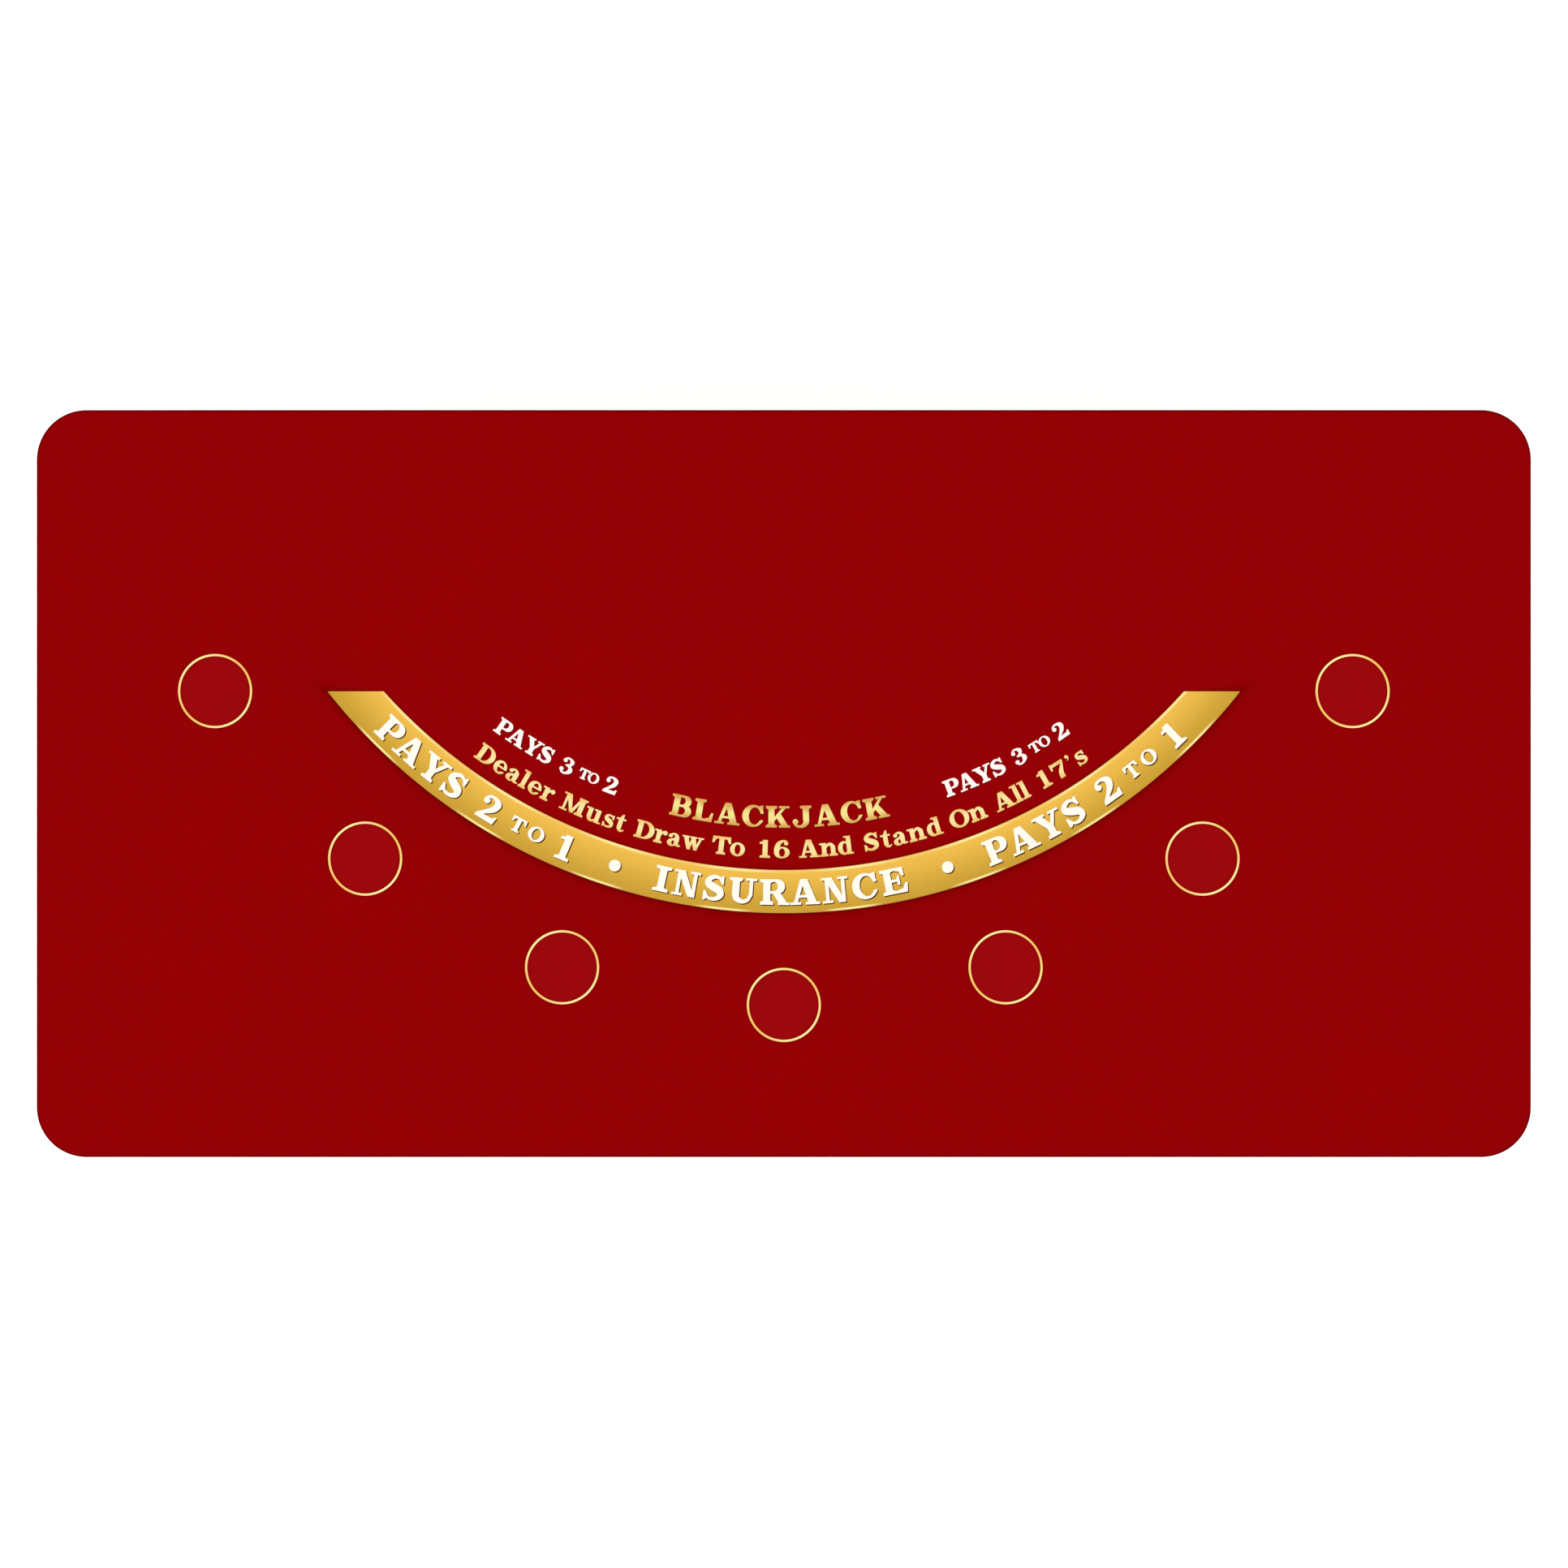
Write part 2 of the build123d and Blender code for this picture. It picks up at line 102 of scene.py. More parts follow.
class ClothSettings(bpy.types.PropertyGroup):
    """Sizes and colours of the layout cloth and the foam under it"""

    red: colour("Cloth", "Printed red of the layout", 0.256, 0.0006, 0.0015)
    circle_red: colour("Circle fill", "Lighter red inside each betting circle", 0.284, 0.0024, 0.0036)
    # The print shade is also the colour of the painted shade at the table's edge and in the weave's hollows.
    shade: colour("Print shade", "Darker red printed round the gold", 0.065, 0.0, 0.0)
    thread: measure("Thread pitch", "Distance between neighbouring threads", 0.9 * MM)
    thickness: measure("Cloth thickness", "Thickness of the layout cloth", 0.9 * MM)
    hem: measure("Hem", "Width of cloth turned under the board", 40 * MM)
    pleat: measure("Pleat depth", "Depth of the gathers where the hem turns a corner", 1.3 * MM)
    foam: colour("Foam", "Foam under the cloth", 0.05, 0.05, 0.055)


class PrintSettings(bpy.types.PropertyGroup):
    """Sizes and colours of the gold print and the lettering"""

    lift: measure("Print lift", "Height of each layer of ink above the one below", 0.12 * MM)
    shadow: measure("Shadow offset", "How far each letter's printed shadow is moved", 1.25 * MM)
    band_inner: colour("Band, inner side", "Gold of the band nearer the dealer", 0.700, 0.405, 0.056)
    band_outer: colour("Band, outer side", "Gold of the band nearer the players", 0.446, 0.258, 0.021)
    shine: colour("Gold highlight", "Bright line along the band's edges", 0.76, 0.66, 0.26)
    band_rim: colour("Band rim", "Browner gold at the very edge of the band", 0.42, 0.12, 0.04)
    ring_deep: colour("Ring, deep", "Deeper gold of the betting circles", 0.75, 0.43, 0.100)
    ring_pale: colour("Ring, pale", "Paler gold of the betting circles", 0.76, 0.66, 0.28)
    white: colour("Band lettering", "Warm white of the lettering on the band", 0.80, 0.77, 0.68)
    cool_white: colour("Payout lettering", "White of the payout lettering", 0.80, 0.745, 0.71)
    title_deep: colour("Title, deep", "Deeper gold of the title lettering", 0.55, 0.30, 0.070)
    title_pale: colour("Title, pale", "Paler gold of the title lettering", 0.705, 0.592, 0.21)
    rule_deep: colour("Rules, deep", "Deeper gold of the rules lettering", 0.70, 0.40, 0.11)
    rule_pale: colour("Rules, pale", "Paler gold of the rules lettering", 0.736, 0.595, 0.257)
    gold_shadow: colour("Shadow on gold", "Printed shadow on the gold band", 0.038, 0.014, 0.001)
    red_shadow: colour("Shadow on red", "Printed shadow on the red cloth", 0.110, 0.001, 0.0)


class WoodSettings(bpy.types.PropertyGroup):
    """Colours of the board, the apron and the battens"""

    stain_dark: colour("Stain, dark", "Dark grain of the stained apron", 0.022, 0.0065, 0.0025)
    stain_light: colour("Stain, light", "Light grain of the stained apron", 0.120, 0.038, 0.013)
    birch_dark: colour("Birch, dark", "Dark grain of the plywood board", 0.40, 0.26, 0.14)
    birch_light: colour("Birch, light", "Light grain of the plywood board", 0.62, 0.46, 0.28)
    pine_dark: colour("Pine, dark", "Late wood of the battens and corner blocks", 0.42, 0.22, 0.085)
    pine_light: colour("Pine, light", "Early wood of the battens and corner blocks", 0.68, 0.48, 0.26)


class HardwareSettings(bpy.types.PropertyGroup):
    """Sizes and colours of the steel, the rubber and the knobs"""

    powder: colour("Powder coat", "Black powder coat of the legs and brackets", 0.012, 0.012, 0.013)
    zinc: colour("Zinc", "Bright zinc plate of the fasteners", 0.62, 0.63, 0.65)
    rubber: colour("Rubber", "Moulded rubber of the feet", 0.022, 0.022, 0.023)
    knob: colour("Knob", "Moulded plastic of the knobs", 0.016, 0.016, 0.017)
    brass: colour("Brass", "Threaded inserts of the knobs", 0.72, 0.50, 0.20)
    bead: measure("Weld bead", "Thickness of the weld where a cross tube meets a leg", 5.0 * MM)


class StageSettings(bpy.types.PropertyGroup):
    """The floor, the lights and the camera"""

    floor: colour("Floor", "Plain pale floor", 0.90, 0.90, 0.90)
    floor_glow: bpy.props.FloatProperty(
        name="Floor glow", description="Light that the floor itself gives", default=0.29, min=0
    )
    sky: bpy.props.FloatProperty(name="Sky", description="Even light from all round", default=1.0, min=0)
    sun: bpy.props.FloatProperty(
        name="Soft key", description="Broad light from high up", subtype="POWER", default=1.1, min=0
    )
    lens: bpy.props.FloatProperty(
        name="Lens", description="Focal length", subtype="DISTANCE_CAMERA", default=150, min=1
    )
    view_width: measure("View width", "Width of table and margin seen at the playing surface", 1.888)


# ============================ shader expressions ============================


def operation(kind, swapped=False):
    """A method that joins a signal and another value with one Math node."""

    def method(signal, other):
        return signal.finish.maths(kind, *((other, signal) if swapped else (signal, other)))

    return method


class Signal:
    """A value that varies over a surface, which Python's own operators can work on."""

    def __init__(self, finish, socket):
        self.finish, self.socket = finish, socket

    __add__ = __radd__ = operation("ADD")
    __mul__ = __rmul__ = operation("MULTIPLY")
    __sub__, __rsub__ = operation("SUBTRACT"), operation("SUBTRACT", swapped=True)
    __truediv__, __pow__ = operation("DIVIDE"), operation("POWER")
    at_least, at_most = operation("MAXIMUM"), operation("MINIMUM")

    def __abs__(self):
        return self.finish.maths("ABSOLUTE", self)

    def fading(self, length):
        """1 where the value is nothing, dying away over this length as the value grows."""
        return self.finish.maths("EXPONENT", self * (-1 / length))


class Finish:
    """A material in the making: one Principled surface and the nodes that feed it."""

    def __init__(self, name, base, roughness, **constants):
        self.material = bpy.data.materials.new(name)
        self.material.use_nodes = True
        self.tree = self.material.node_tree
        self.surface = self.tree.nodes["Principled BSDF"]
        self.material.diffuse_color = (*base, 1)
        self.set("Base Color", (*base, 1))
        self.set("Roughness", roughness)
        for socket, value in constants.items():
            self.set(socket.replace("_", " ").title().replace("Ior", "IOR"), value)

    def set(self, socket, value):
        """Gives one of the surface's sockets a constant or a varying value."""
        self.feed(self.surface.inputs[socket], value)

    def feed(self, socket, value):
        """Links a signal into a socket, or sets the socket to a constant."""
        if isinstance(value, Signal):
            self.tree.links.new(value.socket, socket)
        elif socket.type == "RGBA" and len(value) == 3:
            socket.default_value = (*value, 1)
        else:
            socket.default_value = value

    def node(self, kind, settings=None, inputs=None, output=0):
        """Adds a node with its settings, then its inputs, and returns one of its outputs."""
        node = self.tree.nodes.new(kind)
        for name, value in (settings or {}).items():
            setattr(node, name, value)
        for name, value in (inputs or {}).items():
            self.feed(node.inputs[name], value)
        return Signal(self, node.outputs[output])

    def maths(self, operation, *values):
        """One Math node on numbers."""
        return self.node("ShaderNodeMath", {"operation": operation}, dict(enumerate(values)))

    def place(self, scale=(1, 1, 1), turn=(0, 0, 0)):
        """Object coordinates, turned and scaled."""
        spot = self.node("ShaderNodeTexCoord", output=3)
        if scale == (1, 1, 1) and turn == (0, 0, 0):
            return spot
        return self.node("ShaderNodeMapping", {}, {"Vector": spot, "Rotation": turn, "Scale": scale})

    def axes(self, vector):
        """The three numbers of a vector."""
        node = self.tree.nodes.new("ShaderNodeSeparateXYZ")
        self.feed(node.inputs[0], vector)
        return [Signal(self, node.outputs[axis]) for axis in range(3)]

    def noise(self, scale, detail=2.0, vector=None, roughness=0.5, distortion=0.0):
        """Cloudy noise from 0 to 1, with scale in cycles per metre."""
        inputs = {"Vector": self.place() if vector is None else vector, "Scale": scale, "Detail": detail}
        inputs |= {"Roughness": roughness, "Distortion": distortion}
        return self.node("ShaderNodeTexNoise", {}, inputs)

    def span(self, value, low, high, to_low=0.0, to_high=1.0):
        """Value spread from one range to another with soft ends, and held at the ends."""
        inputs = {"Value": value, "From Min": low, "From Max": high, "To Min": to_low, "To Max": to_high}
        return self.node("ShaderNodeMapRange", {"interpolation_type": "SMOOTHSTEP"}, inputs)

    def mix(self, factor, first, second):
        """A colour between two others."""
        return self.node("ShaderNodeMix", {"data_type": "RGBA"}, {0: factor, 6: first, 7: second}, output=2)

    def tint(self, factor, first, second):
        """Gives the surface a colour between two others."""
        self.set("Base Color", self.mix(factor, first, second))

    def bump(self, height, depth, strength=1.0):
        """Raises the surface by up to depth metres where height is 1."""
        inputs = {"Strength": strength, "Distance": depth, "Height": height}
        self.set("Normal", self.node("ShaderNodeBump", {}, inputs))
        return self.material


# ================================ finishes ================================

# How quickly the darker red fades: beside the gold, as painted shade at the table's edge, and on the band's
# outer side.
RIM_FADE = 2 * MM
EDGE_FADE = 3.2 * MM
SHADE_FADE = 9.5 * MM
# Depths below the surface between which painted shade darkens the turned-over cloth, and then lightens again.
TURN_START, TURN_DEEP = 0.2 * MM, 2.6 * MM
SIDE_DARK, SIDE_LIGHT = 3 * MM, 8 * MM
# The band's browner rims, and the bright lines beside them, as parts of its width from its inner side.
INNER_RIM, INNER_LINE, OUTER_LINE, OUTER_RIM = (-0.005, 0.03), (0.035, 0.085), (0.935, 0.96), (0.975, 1.0)
# Glints in a whole turn of the band's arcs, and the angles that shift those of its two lines.
GLINTS = 28
INNER_SHIFT, OUTER_SHIFT = radians(18), radians(6)
# Depth of the threads that show through the ink.
INK_DEPTH = 0.05 * MM
# Scale of the wood's pattern along its grain, beside 1 across it.
ALONG_GRAIN = 0.045
# Heights above the floor between which the scuffs on the legs die out.
SCUFF_LOW, SCUFF_HIGH = 0.02, 0.16


def weave(finish, pitch):
    """Height of a plain weave, from 0 to 1: threads along X and Y that go over and under each other.

    Height is added to both, so that the threads still cross on an upright side.
    """
    x, y, z = finish.axes(finish.place())
    across = finish.maths("SINE", (x + z) * (pi / pitch))
    along = finish.maths("SINE", (y - z) * (pi / pitch))
    over = across * along * 0.5
    return (abs(across) + over).at_least(abs(along) - over) / 1.5


def arc_place(finish):
    """Where a point lies on the layout's arcs: its distance from their centre, and its angle."""
    x, y, _ = finish.axes(finish.place())
    down = ARC_Y - y
    return (x * x + down * down) ** 0.5, finish.maths("ARCTAN2", x, down)


def from_the_band(finish, reach):
    """Distance outwards from the gold band's outline, and 0 on the band."""
    _, y, _ = finish.axes(finish.place())
    from_arcs = abs(reach - BAND_MIDDLE) - (BAND_OUTER - BAND_INNER) / 2
    return from_arcs.at_least(y - BAND_END_Y).at_least(0)


def from_circle_centre(finish, reach, turn):
    """Distance from the centre of the nearest betting circle."""
    last = (BET_COUNT - 1) / 2
    nearest = finish.maths("ROUND", turn / BET_STEP).at_least(-last).at_most(last)
    beside = finish.maths("COSINE", turn - nearest * BET_STEP)
    return (reach * reach + BET_ARC**2 - reach * beside * (2 * BET_ARC)) ** 0.5


def edge_shadow(finish):
    """Painted shade: darkening of the cloth towards the table's edge, and where it turns over the edge."""
    x, y, z = finish.axes(finish.place())
    out_x = (abs(x) - (LENGTH / 2 - CORNER)).at_least(0)
    out_y = (abs(y) - (WIDTH / 2 - CORNER)).at_least(0)
    inwards = CORNER - (out_x * out_x + out_y * out_y) ** 0.5
    turning = finish.span(z, SURFACE - TURN_DEEP, SURFACE - TURN_START, 1, 0)
    below = finish.span(z, SURFACE - SIDE_LIGHT, SURFACE - SIDE_DARK, 0.2, 1)
    return turning * below * 0.6 + inwards.fading(EDGE_FADE) * 0.3


def layout_cloth(look):
    """Printed short-nap cloth: deep red, darker round the gold, slightly lighter in the betting circles."""
    finish = Finish(
        "printed_red_cloth", look.red, 0.85, specular_ior_level=0.0, sheen_weight=0.05, sheen_roughness=0.4
    )
    finish.set("Sheen Tint", (1.0, 0.02, 0.03, 1))
    reach, turn = arc_place(finish)
    from_band = from_the_band(finish, reach)
    players_side = finish.span(reach, BAND_INNER, BAND_OUTER)
    band_halo = from_band.fading(RIM_FADE) * 0.5 + from_band.fading(SHADE_FADE) * 0.26 * players_side

    from_centre = from_circle_centre(finish, reach, turn)
    middle_of_line = BET_RADIUS - BET_LINE / 2
    ring_halo = abs(from_centre - middle_of_line).fading(RIM_FADE) * 0.5
    inside = finish.span(from_centre, middle_of_line - 3 * MM, middle_of_line, 1, 0)

    clouds = finish.noise(7, 3) - 0.5
    fibres = finish.noise(1500, 2) - 0.5
    threads = weave(finish, look.thread)
    # The cloudy and fibrous tone is the cloth's own. The weave's part is painted shade: the cloth is darker
    # where the threads dip.
    tone_and_weave_shade = clouds * 0.04 + fibres * 0.16 + (1 - threads) * 0.3
    # edge_shadow adds the painted shade at the table's edge.
    darker = edge_shadow(finish) + band_halo + ring_halo + tone_and_weave_shade
    printed = finish.mix(inside, look.red, look.circle_red)
    finish.tint(darker.at_least(0), printed, look.shade)
    finish.set("Roughness", 0.82 + fibres * 0.2)
    return finish.bump(threads * 0.8 + fibres * 0.5, 0.35 * MM, 0.6)


def ink_on_weave(name, base, look, roughness=0.6, gloss=0.08):
    """Matt ink that shows the cloth's threads through it."""
    finish = Finish(name, base, roughness, specular_ior_level=gloss)
    finish.bump(weave(finish, look.thread), INK_DEPTH, 0.5)
    return finish


def band_gold(ink, look):
    """Gold print that runs from bright at the inner side to deep at the outer, with glinting edge lines."""
    finish = ink_on_weave("gold_band_print", ink.band_inner, look)
    reach, turn = arc_place(finish)
    across = (reach - BAND_INNER) / (BAND_OUTER - BAND_INNER)
    body = finish.mix(finish.span(across, -0.15, 1.1), ink.band_inner, ink.band_outer)
    inner_glint = finish.span(finish.maths("COSINE", (turn + INNER_SHIFT) * GLINTS), -1, 1)
    inner_line = finish.span(across, *INNER_LINE, 1, 0) * (inner_glint * 0.75 + 0.25)
    outer_glint = finish.span(finish.maths("COSINE", (turn + OUTER_SHIFT) * GLINTS), 0, 1)
    outer_line = finish.span(across, *OUTER_LINE) * outer_glint
    rim = finish.span(across, *INNER_RIM, 1, 0) + finish.span(across, *OUTER_RIM)
    brushed = (finish.noise(60, 3, distortion=0.4) - 0.5) * 0.10
    worked = finish.mix(brushed.at_least(0), body, ink.shine)
    lit = finish.mix(inner_line.at_least(outer_line), worked, ink.shine)
    finish.tint(rim * 0.6, lit, ink.band_rim)
    return finish.material


def ring_gold(ink, look):
    """Gold print of the betting circles, whose glint goes twice round each ring."""
    finish = ink_on_weave("gold_ring_print", ink.ring_pale, look)
    glint = finish.node("ShaderNodeAttribute", {"attribute_name": "glint"}, output=2)
    finish.tint(glint, ink.ring_deep, ink.ring_pale)
    return finish.material


def letter_gold(name, deep, pale, look, line, spread=1.0):
    """Gold lettering: pale along the middle of its line of letters, and deeper at their tops and feet."""
    feet, height = line[0] * MM, line[1] * MM
    finish = ink_on_weave(name, pale, look)
    reach, _ = arc_place(finish)
    from_middle = abs(reach - (feet - height / 2)) / (height / 2 * spread)
    streaks = (finish.noise(95, 2) - 0.5) * 0.9
    finish.tint(finish.span(from_middle + streaks, 0.15, 0.98), pale, deep)
    return finish.material


def plain_ink(name, base, look):
    """One flat ink with a trace of unevenness where it sinks into the cloth."""
    finish = ink_on_weave(name, base, look, 0.65, 0.05)
    finish.tint(finish.noise(400, 2) * 0.06, base, look.red)
    return finish.material


def foam(look):
    """Open-cell foam, speckled with its pores."""
    finish = Finish("foam", look.foam, 0.95)
    cells = finish.noise(900, 3)
    finish.tint(finish.span(cells, 0.4, 0.6), (0.02, 0.02, 0.022), look.foam)
    return finish.bump(cells, 0.3 * MM)


def timber(name, dark, light, along, ring_pitch, coat, pore_strength=0.5):
    """Planed wood with growth rings stretched along one axis, fine pores, and a satin seal."""
    finish = Finish(name, light, 0.5, specular_ior_level=0.3, coat_weight=coat, coat_roughness=0.3)
    stretched = finish.place(tuple(ALONG_GRAIN if axis == along else 1 for axis in range(3)))
    wander = finish.noise(9, 3, stretched)
    rings = finish.noise(1 / ring_pitch, 4, stretched, roughness=0.6, distortion=0.6)
    pores = finish.noise(1400, 1, stretched)
    grain = finish.span(rings * 0.8 + wander * 0.35, 0.35, 0.78)
    wood = finish.mix(grain, dark, light)
    open_pores = finish.span(pores, 0.62, 0.72) * pore_strength
    finish.tint(open_pores, wood, dark)
    finish.set("Roughness", 0.42 + rings * 0.22)
    return finish.bump(rings * 0.5 - open_pores * 0.5, 0.12 * MM, 0.6)


def powder_coat(look):
    """Black powder coat: a fine orange-peel texture, with pale scuffs low on the legs."""
    finish = Finish("black_powder_coat", look.powder, 0.42, specular_ior_level=0.3)
    peel = finish.noise(650, 2)
    _, _, z = finish.axes(finish.place())
    scratches = finish.noise(130, 4, finish.place((1, 1, 0.25)), roughness=0.7)
    scuffed = finish.span(scratches, 0.64, 0.70) * finish.span(z, SCUFF_LOW, SCUFF_HIGH, 0.55, 0)
    finish.tint(scuffed, look.powder, (0.16, 0.16, 0.165))
    finish.set("Roughness", 0.36 + peel * 0.16 + scuffed * 0.3)
    return finish.bump(peel, 0.3 * MM, 0.6)


def plated(name, base, roughness):
    """Bright plated or turned metal with a faint cloudy variation."""
    finish = Finish(name, base, roughness, metallic=1.0)
    clouds = finish.noise(260, 3)
    finish.tint(finish.span(clouds, 0.3, 0.7), [c * 0.82 for c in base], base)
    finish.set("Roughness", roughness - 0.06 + clouds * 0.16)
    return finish.bump(finish.noise(1800, 1), 0.02 * MM, 0.5)


def moulded(name, base, roughness, grain, depth):
    """Moulded plastic or rubber with a fine surface grain."""
    finish = Finish(name, base, roughness)
    speckle = finish.noise(grain, 2)
    dusty = finish.span(finish.noise(40, 3), 0.45, 0.75) * 0.25
    finish.tint(dusty, base, [min(1, c * 2.2 + 0.01) for c in base])
    finish.set("Roughness", roughness - 0.05 + speckle * 0.14)
    return finish.bump(speckle, depth, 0.6)


def paint(finish, *nodes):
    """Gives frame nodes that keep their own shape a better finish."""
    for node in nodes:
        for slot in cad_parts[node].material_slots:
            slot.material = finish


# ============================= mesh helpers =============================


def mesh_data(mesh, name):
    """Turns a bmesh into mesh data."""
    data = bpy.data.meshes.new(name)
    mesh.to_mesh(data)
    mesh.free()
    return data


def placed(mesh, name, material):
    """Turns a bmesh into an object at the origin."""
    piece = bpy.data.objects.new(name, mesh_data(mesh, name))
    piece.data.materials.append(material)
    bpy.context.scene.collection.objects.link(piece)
    return piece


def finished(mesh, name, material, body):
    """Turns a closed bmesh into a piece that rides on a body and has the given finish."""
    bmesh.ops.recalc_face_normals(mesh, faces=mesh.faces)
    piece = placed(mesh, name, material)
    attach(piece, body)
    return piece


def corners(node):
    """The lowest and highest corners of a frame node."""
    return [Vector(corner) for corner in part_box(node)]


def only(kind, items):
    """The vertices, or the edges, among the items that an operator made."""
    return [item for item in items if isinstance(item, kind)]


def smooth(piece, angle=40):
    """Shades a piece smooth, but keeps edges sharper than the angle."""
    piece.data.shade_smooth()
    piece.data.set_sharp_from_angle(angle=radians(angle))


def rounded_face(mesh, size, radius, height, segments, centre=(0, 0)):
    """One level face in the shape of a rectangle with round corners."""
    place = Matrix.Translation((*centre, height)) @ Matrix.Diagonal((*size, 1, 1))
    square = bmesh.ops.create_grid(mesh, x_segments=1, y_segments=1, size=0.5, matrix=place)["verts"]
    how = {"affect": "VERTICES", "offset_type": "OFFSET", "profile": 0.5, "material": -1}
    bmesh.ops.bevel(mesh, geom=square, offset=radius, segments=segments, **how)


def skirt(mesh, core, steps, centre=(0, 0), edges=None):
    """Extrudes a rounded outline, and moves each new loop outwards and upwards. Returns the last loop."""
    edges = edges or [edge for edge in mesh.edges if edge.is_boundary]
    for outward, upward in steps:
        made = bmesh.ops.extrude_edge_only(mesh, edges=edges)["geom"]
        for vert in only(BMVert, made):
            spot = vert.co.xy - Vector(centre)
            nearest = Vector([max(-half, min(half, along)) for half, along in zip(core, spot)])
            vert.co.xy += (spot - nearest).normalized() * outward
            vert.co.z += upward
        edges = only(BMEdge, made)
    return edges


def quarter(radius, steps):
    """Outward and upward moves that go round a quarter circle, from level to straight down."""
    turns = [k * (pi / 2) / steps for k in range(steps + 1)]
    return [(radius * (sin(b) - sin(a)), radius * (cos(b) - cos(a))) for a, b in zip(turns, turns[1:])]


def thicken(mesh, thickness):
    """Gives every flat face a thickness, upwards. Its faces are turned outwards when it is finished."""
    bmesh.ops.recalc_face_normals(mesh, faces=mesh.faces)
    for face in mesh.faces:
        if face.normal.z < 0:
            face.normal_flip()
    made = bmesh.ops.extrude_face_region(mesh, geom=mesh.faces[:], use_keep_orig=True)["geom"]
    bmesh.ops.translate(mesh, verts=only(BMVert, made), vec=(0, 0, thickness))


# ============================== cloth and foam ==============================


def build_cloth(look):
    """The layout cloth as one sheet: top, rounded edge, side, and a hem with gathered corners."""
    mesh = bmesh.new()
    rounded_face(mesh, (LENGTH - 2 * EDGE, WIDTH - 2 * EDGE), CORNER - EDGE, SURFACE, 28)
    core = (LENGTH / 2 - CORNER, WIDTH / 2 - CORNER)
    under = BOARD_UNDERSIDE - CLEAR - look.thickness
    lower_edge = 2.2 * MM
    side = SURFACE - EDGE - under - lower_edge
    turned_in = [(-outward, upward) for outward, upward in reversed(quarter(lower_edge, 4))]
    edges = skirt(mesh, core, quarter(EDGE, 6) + [(0, -side / 4)] * 4 + turned_in)
    rows, gathers = 7, 6
    for row in range(rows):
        edges = skirt(mesh, core, [((lower_edge - look.hem) / rows, 0)], edges=edges)
        for vert in {vert for edge in edges for vert in edge.verts}:
            across, along = abs(vert.co.x) - core[0], abs(vert.co.y) - core[1]
            if across > 0 and along > 0:
                turn = atan2(along, across)
                gather = abs(sin(gathers * turn)) * sin(2 * turn) ** 0.5
                vert.co.z = under - look.pleat * gather * min(1, (row + 1) / 3)
    piece = finished(mesh, "printed_layout_cloth", layout_cloth(look), "tabletop")
    smooth(piece, 50)
    thick = piece.modifiers.new("thickness", "SOLIDIFY")
    thick.thickness, thick.offset = look.thickness, -1
    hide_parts("layout_cloth")


def build_foam(look):
    """The foam under the cloth, with its upper edge rounded over."""
    mesh = bmesh.new()
    round_over, clear = 3.5 * MM, 0.12 * MM
    size = [high - low - 2 * clear for low, high in zip(FOAM_LOW[:2], FOAM_HIGH[:2])]
    radius = CORNER - 1 * MM - clear
    top = FOAM_HIGH[2] - clear
    rounded_face(mesh, [side - 2 * round_over for side in size], radius - round_over, top, 20)
    core = [side / 2 - radius for side in size]
    side = (0, FOAM_LOW[2] + CLEAR - (top - round_over))
    edges = skirt(mesh, core, [*quarter(round_over, 4), side])
    bmesh.ops.edgeloop_fill(mesh, edges=edges)
    piece = finished(mesh, "foam_pad", foam(look), "tabletop")
    smooth(piece)
    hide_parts("foam_underlay")


# ================================ the print ================================


def build_band(ink, look):
    """The insurance band: a ring of ink spun round the arc's centre and cut off level at both ends."""
    mesh = bmesh.new()
    centre = Vector((0, ARC_Y, SURFACE))
    line = [mesh.verts.new(centre + Vector((0, -reach, 0))) for reach in (BAND_INNER, BAND_OUTER)]
    edge = mesh.edges.new(line)
    sweep = radians(60)
    bmesh.ops.rotate(mesh, verts=line, cent=centre, matrix=Matrix.Rotation(-sweep, 3, "Z"))
    arc = {"cent": centre, "axis": (0, 0, 1), "angle": 2 * sweep, "steps": 240}
    bmesh.ops.spin(mesh, geom=[*line, edge], **arc)
    bmesh.ops.remove_doubles(mesh, verts=mesh.verts, dist=1e-6)
    whole = mesh.verts[:] + mesh.edges[:] + mesh.faces[:]
    end = {"plane_co": (0, BAND_END_Y, 0), "plane_no": (0, 1, 0)}
    bmesh.ops.bisect_plane(mesh, geom=whole, clear_outer=True, **end)
    thicken(mesh, ink.lift)
    piece = finished(mesh, "gold_insurance_band", band_gold(ink, look), "tabletop")
    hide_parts("insurance_band_print")


def build_rings(ink, look):
    """Seven betting circles, each spun from a short line, with a glint that goes twice round."""
    mesh = bmesh.new()
    glint = mesh.verts.layers.float.new("glint")
    glint_turn = radians(128)
    for number in range(BET_COUNT):
        turn = (number - (BET_COUNT - 1) / 2) * BET_STEP
        centre = Vector((BET_ARC * sin(turn), ARC_Y - BET_ARC * cos(turn), SURFACE))
        line = [mesh.verts.new(centre + Vector((r, 0, 0))) for r in (BET_RADIUS - BET_LINE, BET_RADIUS)]
        edge = mesh.edges.new(line)
        circle = {"cent": centre, "axis": (0, 0, 1), "angle": tau, "steps": 96}
        bmesh.ops.spin(mesh, geom=[*line, edge], use_merge=True, **circle)
        for vert in mesh.verts:
            spot = vert.co.xy - centre.xy
            if spot.length < 1.2 * BET_RADIUS:
                vert[glint] = 0.5 + 0.5 * cos(2 * (atan2(spot.y, spot.x) - glint_turn))
    thicken(mesh, ink.lift)
    piece = finished(mesh, "gold_betting_circles", ring_gold(ink, look), "tabletop")
    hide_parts("bet_circle_prints")


# =============================== the lettering ===============================

